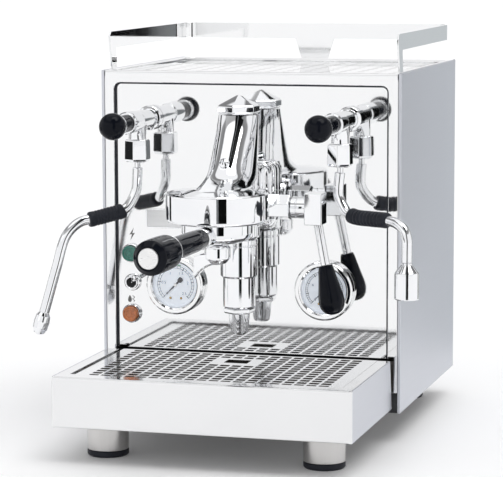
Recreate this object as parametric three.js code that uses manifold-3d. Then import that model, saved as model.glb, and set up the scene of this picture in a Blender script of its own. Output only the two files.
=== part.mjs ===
// Espresso machine with one lever-operated brew group, a steam wand and a hot-water wand.
// Millimetres. X to the right, Y from the front to the back, Z up.
// The parts are laid out from the front sheet's plane (Y = 0) and the machine's centre plane (X = 0),
// and the whole group is then moved so that its origin is the bottom centre of its bounding box.

import * as THREE from 'three';
import { mergeVertices } from 'three/addons/utils/BufferGeometryUtils.js';
import { ConvexGeometry } from 'three/addons/geometries/ConvexGeometry.js';
import Module from 'manifold-3d';

const wasm = await Module();
wasm.setup();

// ---- driving dimensions -------------------------------------------------------------------------

const GAP = 0.3; // clearance between neighbouring pieces
const ROUND = 20; // segments of a full circle on turned pieces

const BODY_HALF = 150; // half of the cabinet's width
const BODY_DEPTH = 266;
const BODY_TOP = 354.8;
const BODY_BOTTOM = 28.6;
const SHEET = 1.3; // thickness of the cabinet's sheet metal
const PAN_HEIGHT = 48; // top of the floor pan's walls

const FRAME_INNER_HALF = 137.3; // inner edge of the front columns
const FRAME_LINTEL = 343.2; // underside of the lintel
const PANEL_BOTTOM = 80.5;
const PANEL_FRONT = 4; // front face of the mirror sheet

const TRAY_HALF = 142.7;
const TRAY_FRONT = -168.7;
const TRAY_BOTTOM = 33.6;
const TRAY_TOP = 81.5;
const TRAY_FLOOR = 42;
const TRAY_REAR_TOP = -11.7;
const TRAY_REAR_BOTTOM = -3.6;
const TRAY_FLANGE = 12.2; // width of the rim at the sides
const TRAY_LIP = 16.7; // width of the rim at the front
const GRID_TOP = 80;

const FOOT_RADIUS = 19.6;
const FOOT_X = 105;
const FOOT_FRONT_Y = -119;
const FOOT_REAR_Y = 230;
const PAD_HEIGHT = 6;

const LID_HALF = 141.3; // cup tray, which lies in a shallow recess
const LID_FRONT = 9.5;
const LID_BACK = 248;
const LID_TOP = 351.2;
const LID_SHEET = 1.4;

const RAIL_HALF = 145;
const RAIL_BACK = 257.5;
const RAIL_TOP = 392;
const RAIL_BAND = 376.2; // underside of the rail's upper band
const RAIL_SHEET = 1.5;

const GROUP_Y = -36; // axis of the tower, the cam and the lower valve
const HEAD_Y = -108; // axis of the bell and the portafilter
const CAM_Z = 229.5;
const BELL_RADIUS = 48;
const BELL_BOTTOM = 222.5;
const TOWER_TOP = 317;
const HANDLE_Z = 212.2;
const HANDLE_LENGTH = 185; // from the portafilter's axis to the end of its handle
const HANDLE_TURN = -0.035; // the tightened handle stands 2 degrees to the left of straight ahead

const VALVE_X = 100;
const WAND_Y = -40;
const STEAM_Z = 309;
const WATER_Z = 311.5;
const STEAM_KNOB_Y = -112; // centre of the ball on the closed valve
const WATER_KNOB_Y = -123; // this valve is stored one turn open, so its knob stands further out
const WAND_RADIUS = 4.9;

const GAUGE_X = 75;
const GAUGE_Z = 145.5;
const GAUGE_RADIUS = 29;
const LAMP_X = -121.5;
const POWER_LAMP_Z = 175;
const HEATING_LAMP_Z = 115;
const SWITCH_X = -120.5;
const SWITCH_Z = 146;

// ---- materials ----------------------------------------------------------------------------------

function finish(color, roughness, metalness) {
  return new THREE.MeshStandardMaterial({ color, roughness, metalness });
}

const polished = () => finish(0xd8dade, 0.05, 1);
const chrome = () => finish(0xe2e4e8, 0.03, 1);
const satin = () => finish(0xb4b8c0, 0.3, 1);
const darkSteel = () => finish(0x55585c, 0.5, 0.8);
const copper = () => finish(0xb87348, 0.3, 1);
const blackGloss = () => finish(0x0b0b0d, 0.12, 0);
const rubber = () => finish(0x141416, 0.7, 0);
const blackPlastic = () => finish(0x202022, 0.5, 0);

// ---- geometry helpers ---------------------------------------------------------------------------

function signedVolume(geometry) {
  const place = geometry.getAttribute('position');
  const index = geometry.getIndex();
  const [a, b, c] = [new THREE.Vector3(), new THREE.Vector3(), new THREE.Vector3()];
  let sum = 0;
  for (let i = 0; i < index.count; i += 3) {
    a.fromBufferAttribute(place, index.getX(i));
    b.fromBufferAttribute(place, index.getX(i + 1));
    c.fromBufferAttribute(place, index.getX(i + 2));
    sum += a.dot(b.cross(c));
  }
  return sum / 6;
}

// Merge the shared corners, drop the collapsed triangles at the poles and turn every face outwards.
function closed(source) {
  const bare = source.clone();
  bare.deleteAttribute('normal');
  bare.deleteAttribute('uv');
  const merged = mergeVertices(bare, 1e-4);
  const all = Array.from(merged.getIndex().array);
  const kept = [];
  for (let i = 0; i < all.length; i += 3) {
    const [a, b, c] = all.slice(i, i + 3);
    if (a !== b && b !== c && c !== a) {
      kept.push(a, b, c);
    }
  }
  merged.setIndex(kept);
  if (signedVolume(merged) < 0) {
    const corners = merged.getIndex().array;
    for (let i = 0; i < corners.length; i += 3) {
      [corners[i], corners[i + 1]] = [corners[i + 1], corners[i]];
    }
  }
  return merged;
}

function toManifold(geometry) {
  const merged = closed(geometry);
  return new wasm.Manifold(new wasm.Mesh({
    numProp: 3,
    vertProperties: new Float32Array(merged.getAttribute('position').array),
    triVerts: new Uint32Array(merged.getIndex().array),
  }));
}

function fromManifold(solid) {
  const mesh = solid.getMesh();
  const geometry = new THREE.BufferGeometry();
  geometry.setAttribute('position', new THREE.BufferAttribute(mesh.vertProperties, 3));
  geometry.setIndex(new THREE.BufferAttribute(mesh.triVerts, 1));
  return geometry;
}

function join(first, ...others) {
  return fromManifold(others.reduce((sum, other) => sum.add(toManifold(other)), toManifold(first)));
}

function cut(first, ...others) {
  return fromManifold(others.reduce((rest, other) => rest.subtract(toManifold(other)), toManifold(first)));
}

function box(x0, x1, y0, y1, z0, z1) {
  return new THREE.BoxGeometry(x1 - x0, y1 - y0, z1 - z0)
    .translate((x0 + x1) / 2, (y0 + y1) / 2, (z0 + z1) / 2);
}

// A turned solid about +Z from [radius, height] pairs.
function turned(profile, segments = ROUND) {
  const points = profile.map(([radius, height]) => new THREE.Vector2(radius, height));
  return new THREE.LatheGeometry(points, segments).rotateX(Math.PI / 2);
}

// The same, with its axis along Y: heights grow towards the back.
function turnedAlongY(profile, segments = ROUND) {
  return turned(profile, segments).rotateX(-Math.PI / 2);
}

// The same, with its axis along X.
function turnedAlongX(profile, segments = ROUND) {
  return turned(profile, segments).rotateY(Math.PI / 2);
}

function rod(radius, low, high, segments = ROUND) {
  return turned([[0, low], [radius, low], [radius, high], [0, high]], segments);
}

function rodAlongY(radius, low, high, segments = ROUND) {
  return turnedAlongY([[0, low], [radius, low], [radius, high], [0, high]], segments);
}

function rodAlongX(radius, low, high, segments = ROUND) {
  return turnedAlongX([[0, low], [radius, low], [radius, high], [0, high]], segments);
}

// Quarter-circle profile points from [radius, low] inwards to a rounded end.
function roundedEnd(radius, start, end, corner, steps = 4) {
  const points = [];
  const direction = Math.sign(end - start);
  for (let i = 0; i <= steps; i += 1) {
    const angle = (i / steps) * (Math.PI / 2);
    points.push([
      radius - corner + corner * Math.cos(angle),
      end - direction * corner * (1 - Math.sin(angle)),
    ]);
  }
  return points;
}

function polygon(points) {
  return new THREE.Shape(points.map(([x, y]) => new THREE.Vector2(x, y)));
}

function disc(x, y, radius) {
  return new THREE.Path().absarc(x, y, radius, 0, Math.PI * 2, true);
}

function flat(shape, thickness) {
  return new THREE.ExtrudeGeometry(shape, { depth: thickness, bevelEnabled: false, curveSegments: 6 });
}

// Extrude an outline drawn in X and Z along Y, from front to back.
function upright(shape, front, back) {
  return flat(shape, back - front).rotateX(Math.PI / 2).translate(0, back, 0);
}

// Extrude an outline drawn in Y and Z along X.
function sideways(shape, left, right) {
  return flat(shape, right - left).rotateY(Math.PI / 2).rotateX(Math.PI / 2).translate(left, 0, 0);
}

function curveThrough(points) {
  return new THREE.CatmullRomCurve3(points.map((p) => new THREE.Vector3(...p)), false, 'centripetal');
}

function stretch(curve, from, to, count = 12) {
  const points = [];
  for (let i = 0; i <= count; i += 1) {
    points.push(curve.getPointAt(from + ((to - from) * i) / count));
  }
  return new THREE.CatmullRomCurve3(points);
}

// A round bar or, with an inner radius, a sleeve along a curve.
function along(curve, outer, inner, steps, sides = 12) {
  const section = new THREE.Shape().absarc(0, 0, outer, 0, Math.PI * 2, false);
  if (inner > 0) {
    section.holes.push(disc(0, 0, inner));
  }
  return new THREE.ExtrudeGeometry(section, {
    steps,
    curveSegments: sides,
    bevelEnabled: false,
    extrudePath: curve,
  });
}

// Turn a solid built along +Z so that its axis follows the given direction.
function aimed(geometry, direction) {
  const turn = new THREE.Quaternion().setFromUnitVectors(
    new THREE.Vector3(0, 0, 1),
    direction.clone().normalize(),
  );
  return geometry.applyQuaternion(turn);
}

const machine = new THREE.Group();

function add(name, geometry, material, position = [0, 0, 0]) {
  const mesh = new THREE.Mesh(closed(geometry), material);
  mesh.name = name;
  mesh.position.set(...position);
  machine.add(mesh);
  return mesh;
}

// ---- cabinet ------------------------------------------------------------------------------------

// Floor pan of the cabinet with a shelf in front that carries the drip tray and the front feet.
function baseFrame() {
  const half = BODY_HALF - SHEET - GAP - 1;
  const wall = 2;
  const [front, back] = [2, BODY_DEPTH - 2.5];
  const pan = cut(
    box(-half, half, front, back, BODY_BOTTOM, PAN_HEIGHT),
    box(-half + wall, half - wall, front + wall, back - wall, BODY_BOTTOM + wall, PAN_HEIGHT + 1),
  );
  const shelfTop = TRAY_FLOOR - GAP;
  const shelf = box(-TRAY_HALF + 5, TRAY_HALF - 5, TRAY_FRONT + 9, front + 1, shelfTop - 3, shelfTop);
  // A bulkhead closes the cabinet between the pan and the mirror sheet, and a flange ties it to the pan.
  const [bulkheadFront, bulkheadBack] = [7, 9];
  const bulkhead = box(-half, half, bulkheadFront, bulkheadBack, PAN_HEIGHT - 1, PANEL_BOTTOM - 2);
  const flange = box(-half, half, front, bulkheadBack, PAN_HEIGHT - 3, PAN_HEIGHT);
  return join(pan, shelf, bulkhead, flange);
}

function sidePanel(side) {
  const outer = side * BODY_HALF;
  const [low, high] = [side * (BODY_HALF - SHEET), outer].sort((a, b) => a - b);
  const [hemLow, hemHigh] = [side * (BODY_HALF - 3), outer].sort((a, b) => a - b);
  return join(
    box(low, high, 0, BODY_DEPTH, BODY_BOTTOM, BODY_TOP),
    box(hemLow, hemHigh, 0, SHEET, BODY_BOTTOM, BODY_TOP),
    box(hemLow, hemHigh, 0, BODY_DEPTH, BODY_TOP - SHEET, BODY_TOP),
  );
}

function backPanel() {
  const half = BODY_HALF - SHEET - GAP;
  const [front, back] = [BODY_DEPTH - SHEET, BODY_DEPTH];
  const openings = [box(-101, -74, front - 1, back + 1, 60, 83)];
  for (const x of [-60, 60]) {
    for (let row = 0; row < 8; row += 1) {
      const z = 220 + row * 13;
      openings.push(box(x - 38, x + 38, front - 1, back + 1, z, z + 4));
    }
  }
  return cut(box(-half, half, front, back, BODY_BOTTOM + 0.5, BODY_TOP - 3), ...openings);
}

// Columns and lintel around the mirror sheet, with rounded inner corners at the top.
function frontFrame() {
  const outer = BODY_HALF - 3 - GAP;
  const inner = FRAME_INNER_HALF;
  const corner = 7;
  const outline = new THREE.Shape();
  outline.moveTo(-outer, PAN_HEIGHT + GAP);
  outline.lineTo(-inner, PAN_HEIGHT + GAP);
  outline.lineTo(-inner, FRAME_LINTEL - corner);
  outline.absarc(-inner + corner, FRAME_LINTEL - corner, corner, Math.PI, Math.PI / 2, true);
  outline.lineTo(inner - corner, FRAME_LINTEL);
  outline.absarc(inner - corner, FRAME_LINTEL - corner, corner, Math.PI / 2, 0, true);
  outline.lineTo(inner, PAN_HEIGHT + GAP);
  outline.lineTo(outer, PAN_HEIGHT + GAP);
  outline.lineTo(outer, BODY_TOP - 2);
  outline.lineTo(-outer, BODY_TOP - 2);
  return upright(outline, 0, 2.6);
}

function frontPanel() {
  const half = FRAME_INNER_HALF + 4;
  const back = PANEL_FRONT + 1.5;
  const holes = [
    [-GAUGE_X, GAUGE_Z, 26.6],
    [GAUGE_X, GAUGE_Z, 26.6],
    [-VALVE_X, STEAM_Z, 8.6],
    [VALVE_X, WATER_Z, 8.6],
    [LAMP_X, POWER_LAMP_Z, 6.3],
    [LAMP_X, HEATING_LAMP_Z, 6.3],
    [SWITCH_X, SWITCH_Z, 6.3],
    [0, CAM_Z + 26, 11.3],
    [0, CAM_Z - 14, 11.3],
  ];
  const drills = holes.map(([x, z, radius]) => (
    rodAlongY(radius, 0, 10, radius > 20 ? 28 : 14).translate(x, 0, z)
  ));
  return cut(box(-half, half, PANEL_FRONT, back, PANEL_BOTTOM, FRAME_LINTEL + 5), ...drills);
}

// Ring of sheet around the recess of the cup tray, with a thin ledge that the tray lies on.
function topFrame() {
  const outer = BODY_HALF - 3 - GAP;
  const back = BODY_DEPTH - SHEET - GAP;
  const play = 0.5;
  const wall = 2;
  const ledge = LID_TOP - LID_SHEET - GAP;
  const above = BODY_TOP + 5;
  const ring = box(-outer, outer, 2.9, back, BODY_TOP - 2, BODY_TOP);
  const walls = box(
    -LID_HALF - wall, LID_HALF + wall, LID_FRONT - wall, LID_BACK + wall, ledge - 1.3, BODY_TOP - 1,
  );
  const recess = box(-LID_HALF - play, LID_HALF + play, LID_FRONT - play, LID_BACK + play, ledge, above);
  const mouth = box(-LID_HALF + 5, LID_HALF - 5, LID_FRONT + 5, LID_BACK - 5, ledge - 3, above);
  return cut(join(ring, walls), recess, mouth);
}

// Lift-off lid of the tank: a perforated plate that keeps the cups warm.
function cupTray() {
  const slots = [];
  for (let row = 0; row < 5; row += 1) {
    for (let column = -2; column <= 2; column += 1) {
      const [x, y] = [column * 50, 70 + row * 28];
      slots.push(box(x - 20, x + 20, y, y + 3, LID_TOP - 5, LID_TOP + 5));
    }
  }
  return cut(box(-LID_HALF, LID_HALF, LID_FRONT, LID_BACK, LID_TOP - LID_SHEET, LID_TOP), ...slots);
}

// Polished band on legs: two at the front corners and one in the middle of the back.
function cupRail() {
  const foot = BODY_TOP + GAP;
  const front = 7;
  const inner = RAIL_HALF - RAIL_SHEET;
  const band = cut(
    box(-RAIL_HALF, RAIL_HALF, front, RAIL_BACK, foot, RAIL_TOP),
    box(-inner, inner, front - 1, RAIL_BACK - RAIL_SHEET, foot - 1, RAIL_TOP + 1),
  );
  const sideWindow = polygon([
    [front + 22, foot - 1], [front + 19.5, RAIL_BAND], [300, RAIL_BAND], [300, foot - 1],
  ]);
  const legWindow = (side) => {
    const outline = polygon([
      [side * 14.5, foot - 1], [side * 21, RAIL_BAND], [side * 200, RAIL_BAND], [side * 200, foot - 1],
    ]);
    return upright(outline, RAIL_BACK - 20, RAIL_BACK + 5);
  };
  const slope = polygon([
    [front - 2, foot - 2], [front + 8, foot - 2], [front - 0.01, RAIL_TOP - 4], [front - 2, RAIL_TOP - 4],
  ]);
  const nose = polygon([[front - 2, RAIL_TOP - 5], [front + 5, RAIL_TOP + 1], [front - 2, RAIL_TOP + 1]]);
  return cut(
    band,
    sideways(sideWindow, -200, -RAIL_HALF + 10),
    sideways(sideWindow, RAIL_HALF - 10, 200),
    legWindow(-1),
    legWindow(1),
    sideways(slope, -200, 200),
    sideways(nose, -200, 200),
  );
}

function addCabinet() {
  add('base_frame', baseFrame(), darkSteel());
  add('left_side_panel', sidePanel(-1), satin());
  add('right_side_panel', sidePanel(1), satin());
  add('back_panel', backPanel(), satin());
  add('front_frame', frontFrame(), polished());
  add('front_panel', frontPanel(), polished());
  add('top_frame', topFrame(), polished());
  add('cup_tray', cupTray(), polished());
  add('cup_rail', cupRail(), polished());
}

function addFeet() {
  const places = [
    [-FOOT_X, FOOT_FRONT_Y, TRAY_FLOOR - 3.6],
    [FOOT_X, FOOT_FRONT_Y, TRAY_FLOOR - 3.6],
    [-FOOT_X, FOOT_REAR_Y, BODY_BOTTOM - GAP],
    [FOOT_X, FOOT_REAR_Y, BODY_BOTTOM - GAP],
  ];
  places.forEach(([x, y, top], number) => {
    const pad = turned([[0, 0], [18.5, 0], [FOOT_RADIUS, 1.2], [FOOT_RADIUS, PAD_HEIGHT], [0, PAD_HEIGHT]]);
    const sleeve = rod(FOOT_RADIUS, PAD_HEIGHT + GAP, top);
    add(`foot_pad_${number + 1}`, pad, rubber(), [x, y, 0]);
    add(`foot_sleeve_${number + 1}`, sleeve, chrome(), [x, y, 0]);
  });
}

// ---- works inside the cabinet -------------------------------------------------------------------

function addWorks() {
  const tank = cut(
    box(-125, 125, 158, 256, 95, 338),
    box(-122, 122, 161, 253, 98, 339),
  );
  add('water_tank', tank, finish(0xcfd6dc, 0.3, 0));
  const shell = [[0, -98], [40, -98], [58, -88], [60, -80], [60, 80], [58, 88], [40, 98], [0, 98]];
  const inside = [[0, -95], [39, -95], [55.5, -86], [57.5, -79], [57.5, 79], [55.5, 86], [39, 95], [0, 95]];
  const port = rod(6, 0, 70, 12);
  add('boiler', cut(turnedAlongX(shell), turnedAlongX(inside, 16), port), copper(), [0, 88, 205]);
  const pump = join(rodAlongX(17, -46, 46, 20), box(-22, 22, -23, 23, -23, 23));
  add('pump', pump, blackPlastic(), [-60, 90, 80]);
  add('control_box', box(55, 115, 60, 130, 51, 105), blackPlastic());
  const socket = cut(
    box(-100.7, -74.3, BODY_DEPTH - 24, BODY_DEPTH, 60.3, 82.7),
    box(-97.5, -77.5, BODY_DEPTH - 18, BODY_DEPTH + 1, 63.5, 79.5),
  );
  add('power_inlet', socket, blackPlastic());
}

// ---- brew group ---------------------------------------------------------------------------------

function circlePoints(x, y, z, radiusX, radiusY, count = 24) {
  const points = [];
  for (let i = 0; i < count; i += 1) {
    const angle = (i / count) * Math.PI * 2;
    points.push(new THREE.Vector3(x + radiusX * Math.cos(angle), y + radiusY * Math.sin(angle), z));
  }
  return points;
}

// The tower leans forward: its round top stands on the cam, its front slope runs down to the bell.
function groupTower() {
  const slope = new ConvexGeometry([
    ...circlePoints(0, GROUP_Y, TOWER_TOP, 18.6, 18.6),
    ...circlePoints(0, -50.5, 274, 21, 35),
    ...circlePoints(0, -58, 258, 22, 41),
    ...circlePoints(0, GROUP_Y, 240, 22, 22),
    ...circlePoints(0, -70, 250, 22.3, 28),
  ]);
  // Its foot runs out in a low nose on top of the bell.
  const nose = new ConvexGeometry([
    ...circlePoints(0, -72, 262, 21, 24),
    ...circlePoints(0, -88, 250, 23, 50),
  ]);
  const column = rod(20, 199, 262).translate(0, GROUP_Y, 0);
  return join(slope, nose, column);
}

function groupBell() {
  const bell = turned([
    [0, BELL_BOTTOM], [BELL_RADIUS - 3, BELL_BOTTOM], [BELL_RADIUS - 0.8, BELL_BOTTOM + 1],
    [BELL_RADIUS, BELL_BOTTOM + 3.5], [BELL_RADIUS, 247], [BELL_RADIUS - 0.8, 249.2], [45, 250.4],
    [20, 253.6], [0, 254],
  ], 40);
  return bell.translate(0, HEAD_Y, 0);
}

function groupBody() {
  const flange = box(-28, 28, -6, PANEL_FRONT - GAP, 205, 270);
  const block = box(-19, 19, -36, -4, 209, 266);
  const cam = rodAlongX(17, -25, 28).translate(0, GROUP_Y, CAM_Z);
  const stubs = [CAM_Z + 26, CAM_Z - 14].map((z) => rodAlongY(11, 0, 22, 20).translate(0, 0, z));
  const cavity = rod(39, BELL_BOTTOM - 1, 243, 32).translate(0, HEAD_Y, 0);
  return cut(join(groupTower(), groupBell(), flange, block, cam, ...stubs), cavity);
}

function addGroup() {
  add('group_body', groupBody(), chrome());
  const cap = turned([[0, 0], [19.6, 0], [20.4, 1.2], [20.4, 6.6], [18.8, 8.4], [0, 17.7]], 6);
  add('group_cap', cap.rotateZ(Math.PI / 6), chrome(), [0, GROUP_Y, TOWER_TOP + GAP]);
  const screw = turned([[0, 0], [4.6, 0], [4.6, 1.6], [3.6, 2.6], [0, 2.6]], 20);
  const slope = new THREE.Vector3(0, -0.812, 0.584);
  const face = new THREE.Vector3(0, -85.7, 273.8).addScaledVector(slope, 1.4);
  add('cover_screw', aimed(screw, slope), chrome(), face.toArray());
  const lower = turned([
    [0, 132], [14.7, 132], [15.5, 133], [15.5, 161], [17.1, 161.6], [17.9, 162.8], [17.9, 197.6], [17, 198.7],
    [0, 198.7],
  ]);
  add('lower_valve', lower, chrome(), [0, GROUP_Y, 0]);
  const nut = rod(15.2, 126, 131.7, 6);
  const tip = turned([[0, 106], [6.4, 106], [7.8, 107.4], [9.4, 118], [10.3, 126.5], [0, 126.5]]);
  add('drain_tip', join(nut, tip), chrome(), [0, GROUP_Y, 0]);
  const screen = turned([[0, 238], [29, 238], [31, 239.5], [31, 242.6], [0, 242.6]]);
  add('shower_screen', screen, chrome(), [0, HEAD_Y, 0]);
}

// ---- brew lever ---------------------------------------------------------------------------------

function addLever() {
  add('lever_nut', rodAlongX(12.5, 28.3, 52, 6), chrome(), [0, GROUP_Y, CAM_Z]);
  const hub = join(rodAlongX(10.4, 52.3, 67, 24), box(66.4, 83.6, -10, 10, -15.5, 14.5));
  add('lever_hub', hub, chrome(), [0, GROUP_Y, CAM_Z]);
  const direction = new THREE.Vector3(19.2, -6, -96).normalize();
  const pivot = [75, GROUP_Y, CAM_Z];
  add('lever_rod', aimed(rod(4.3, 17.6, 54.6, 16), direction), chrome(), pivot);
  const grip = turned([
    [0, 55], [6.2, 55], [7.2, 56.5], [9.2, 68], [11.3, 82], [12.4, 91], [12.3, 95], [11, 98.6], [8, 101],
    [4, 102], [0, 102.3],
  ], 18);
  add('lever_grip', aimed(grip, direction), blackGloss(), pivot);
}

// ---- portafilter --------------------------------------------------------------------------------

function addPortafilter() {
  const centre = [0, HEAD_Y, 0];
  const bowl = turned([
    [0, 201.8], [12, 202.2], [24, 204], [31, 208], [33.4, 213], [33.6, 224], [37, 225], [37, 230.5],
    [32, 231], [31.2, 229], [31.2, 210], [27, 207], [0, 206],
  ], 28);
  const lug = rodAlongY(8.5, -44.5, -32, 16).rotateZ(HANDLE_TURN).translate(0, 0, HANDLE_Z);
  add('portafilter_body', join(bowl, lug), chrome(), centre);
  const basket = turned([
    [0, 207.8], [24, 207.8], [29.6, 211], [30, 231.3], [34.5, 231.3], [34.5, 232.3], [29, 232.3], [28.6, 212],
    [23.5, 208.9], [0, 208.9],
  ], 20);
  add('filter_basket', basket, chrome(), centre);
  const bulb = turned([[0, 183.6], [8.5, 183.6], [12.3, 188.4], [12.3, 198.4], [10, 201.2], [0, 201.5]], 24);
  const beakOutline = polygon([
    [8, 193], [8, 184.6], [2.8, 182.9], [-3, 182.6], [-9, 180.2], [-15.2, 176], [-20.8, 169.8],
    [-23.1, 171.1], [-22.4, 180], [-20.2, 190.5], [-6, 193],
  ]);
  const channelOutline = polygon([
    [-9, 200], [-9, 184.5], [-13, 182], [-17.5, 177.6], [-22.6, 171.8], [-40, 171.8], [-40, 200],
  ]);
  const beak = upright(beakOutline, -8, 8);
  const channel = upright(channelOutline, -6.2, 6.2);
  add('spout', join(cut(beak, channel), bulb), chrome(), centre);
  const socket = HANDLE_LENGTH - 1.6; // bottom of the recess that holds the end cap
  const handle = turnedAlongY([
    [0, -44.8], [9.6, -44.8], [9.6, -90], [10.2, -100], [9.9, -128], [11, -132], [14.4, -136], [15.6, -141],
    [15.8, -172], ...roundedEnd(15.8, -140, -HANDLE_LENGTH, 5.6), [9.7, -HANDLE_LENGTH], [9.7, -socket],
    [0, -socket],
  ], 20);
  const handleMesh = add('portafilter_handle', handle, blackGloss(), [0, HEAD_Y, HANDLE_Z]);
  const cap = rodAlongY(9.3, -HANDLE_LENGTH, -socket - GAP, 24);
  const capMesh = add('handle_cap', cap, satin(), [0, HEAD_Y, HANDLE_Z]);
  handleMesh.rotation.z = HANDLE_TURN;
  capMesh.rotation.z = HANDLE_TURN;
}

// ---- valves and wands ---------------------------------------------------------------------------

// The valve's body reaches out from the mirror sheet and has a branch down to the wand.
function valveBody(z) {
  const barrel = turnedAlongY([
    [0, -74.5], [9, -74.5], [10.8, -72], [10.2, -46.6], [9, -46], [9, -45], [9.4, -44.4], [9.2, -6],
    [12, -5.2], [12, PANEL_FRONT - GAP], [8.2, PANEL_FRONT - GAP], [8.2, 18], [0, 18],
  ], 18).translate(0, 0, z);
  const branch = turned([[0, 291.6], [8.6, 291.6], [8.2, 300], [8.8, z], [0, z]], 16).translate(0, WAND_Y, 0);
  return join(barrel, branch);
}

function knob(centre) {
  const ball = [];
  for (let i = 0; i <= 8; i += 1) {
    const angle = Math.PI * (0.07 + 0.65 * (i / 8));
    ball.push([12.7 * Math.sin(angle), centre - 12.7 * Math.cos(angle)]);
  }
  return turnedAlongY([
    [0, centre - 12.6], ...ball, [10.2, centre + 9.6], [10.2, centre + 13], [8.5, centre + 13.6],
    [8.5, -74.8], [0, -74.8],
  ], 20);
}

function wandNut() {
  return turned([[0, 269.5], [10.5, 269.5], [12.7, 271.6], [12.3, 291.3], [0, 291.3]], 6).rotateZ(0.51);
}

// One wand: a bent tube under its nut, a rubber grip around the horizontal run, and an outlet.
function addWand(kind, x, points, gripFrom, gripTo, outletName, outlet) {
  const neckTop = 269.2;
  const neck = rod(3, points[0][2] - 1, neckTop, 12).translate(x, WAND_Y, 0);
  const route = curveThrough(points);
  add(`${kind}_wand`, join(along(route, WAND_RADIUS, 0, 28, 5), neck), chrome());
  const grip = along(stretch(route, gripFrom, gripTo), 7.4, WAND_RADIUS + 0.45, 8, 6);
  add(`${kind}_grip`, grip, rubber());
  const end = route.getPointAt(1);
  const direction = route.getTangentAt(1);
  end.addScaledVector(direction, GAP);
  add(outletName, aimed(outlet, direction), chrome(), end.toArray());
}

function addValves() {
  add('steam_valve', valveBody(STEAM_Z), chrome(), [-VALVE_X, 0, 0]);
  add('water_valve', valveBody(WATER_Z), chrome(), [VALVE_X, 0, 0]);
  add('steam_knob', knob(STEAM_KNOB_Y), blackGloss(), [-VALVE_X, 0, STEAM_Z]);
  add('water_knob', knob(WATER_KNOB_Y), blackGloss(), [VALVE_X, 0, WATER_Z]);
  add('steam_wand_nut', wandNut(), chrome(), [-VALVE_X, WAND_Y, 0]);
  add('water_wand_nut', wandNut(), chrome(), [VALVE_X, WAND_Y, 0]);
  const steamTip = turned([
    [0, 0], [4.9, 0], [7.2, 3.5], [7.6, 9], [7, 16], [4.8, 20.5], [2, 22], [0, 22],
  ], 20);
  addWand('steam', -VALVE_X, [
    [-100, -40, 264.4], [-100.4, -40.6, 252], [-101, -41.6, 243], [-104, -43.9, 234], [-110.5, -48.8, 224.2],
    [-124, -58.9, 219.6], [-136.5, -68.1, 216.4], [-145, -74.2, 214.6], [-152.4, -79.6, 209],
    [-158.5, -84.2, 199.5], [-165.9, -89, 171], [-172, -93.2, 146], [-176.2, -95.9, 129],
  ], 0.245, 0.44, 'steam_tip', steamTip);
  const nozzle = turned([
    [0, 0], [4.9, 0], [5.2, 2], [11.4, 9.5], [11.4, 33], [9.8, 34], [9.8, 30], [0, 30],
  ], 24);
  addWand('water', VALVE_X, [
    [100, -40, 264.4], [98.8, -40.6, 252], [99, -41.4, 243], [102.3, -43.4, 235.4], [108.6, -47.4, 227.6],
    [117.2, -52.8, 224.4], [135.5, -64.4, 224.2], [154.3, -76.4, 224.4], [165, -83.2, 222.4],
    [172, -87.6, 217.2], [174.9, -89.8, 209.5], [175.2, -90.3, 199], [175.2, -90.3, 188.6],
  ], 0.31, 0.645, 'water_nozzle', nozzle);
}

// ---- instruments --------------------------------------------------------------------------------

function gaugeCase() {
  return turnedAlongY([
    [0, 30], [26.2, 30], [26.2, PANEL_FRONT - GAP], [GAUGE_RADIUS, PANEL_FRONT - GAP], [GAUGE_RADIUS, -4],
    [27.5, -6.2], [24.2, -6.2], [22.6, -4.6], [22.2, -0.4], [0, -0.4],
  ], 30);
}

// Pointer with a tail, drawn pointing up and turned to the zero mark at the lower left.
function needle() {
  const outline = polygon([
    [-0.5, 18.5], [-1.1, 0], [-1, -5], [-2.1, -6.5], [-2.1, -9.5], [2.1, -9.5], [2.1, -6.5], [1, -5],
    [1.1, 0], [0.5, 18.5],
  ]);
  const pointer = upright(outline, -2.4, -1.6);
  return join(pointer, rodAlongY(2.6, -3, -0.8, 16)).rotateY(-Math.PI * 0.75);
}

function lamp() {
  return turnedAlongY([
    [0, 16], [6, 16], [6, PANEL_FRONT - GAP], [9.4, PANEL_FRONT - GAP], [9.4, 1.4], [8.4, 0.4], [7.6, 0.4],
    [6.9, -0.9], [4.5, -2.2], [0, -2.8],
  ], 18);
}

function addInstruments() {
  add('boiler_gauge', gaugeCase(), polished(), [-GAUGE_X, 0, GAUGE_Z]);
  add('pump_gauge', gaugeCase(), polished(), [GAUGE_X, 0, GAUGE_Z]);
  add('boiler_needle', needle(), blackPlastic(), [-GAUGE_X, 0, GAUGE_Z]);
  add('pump_needle', needle(), blackPlastic(), [GAUGE_X, 0, GAUGE_Z]);
  add('power_lamp', lamp(), finish(0x0c6b3c, 0.15, 0), [LAMP_X, 0, POWER_LAMP_Z]);
  add('heating_lamp', lamp(), finish(0xd9661f, 0.15, 0), [LAMP_X, 0, HEATING_LAMP_Z]);
  const bush = cut(
    turnedAlongY([
      [0, 18], [6, 18], [6, PANEL_FRONT - GAP], [8.3, PANEL_FRONT - GAP], [8.3, 1.2], [6.6, 0.8],
      [6.4, -2.4], [0, -2.4],
    ], 16),
    rodAlongY(4.9, -3, 3, 16),
  );
  add('switch_bush', bush, chrome(), [SWITCH_X, 0, SWITCH_Z]);
  const bat = turned([[0, -1.8], [1.8, -1.2], [1.8, 5], [2.4, 8], [3.3, 17], [2.6, 19], [0, 19.8]], 16);
  const upAndOut = new THREE.Vector3(0.5, -0.72, 0.48);
  add('switch_lever', aimed(bat, upAndOut), chrome(), [SWITCH_X, -1, SWITCH_Z]);
  add('badge', box(-105, -30, 2.4, PANEL_FRONT - GAP, 201.8, 218), satin());
}

// ---- drip tray ----------------------------------------------------------------------------------

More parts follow.
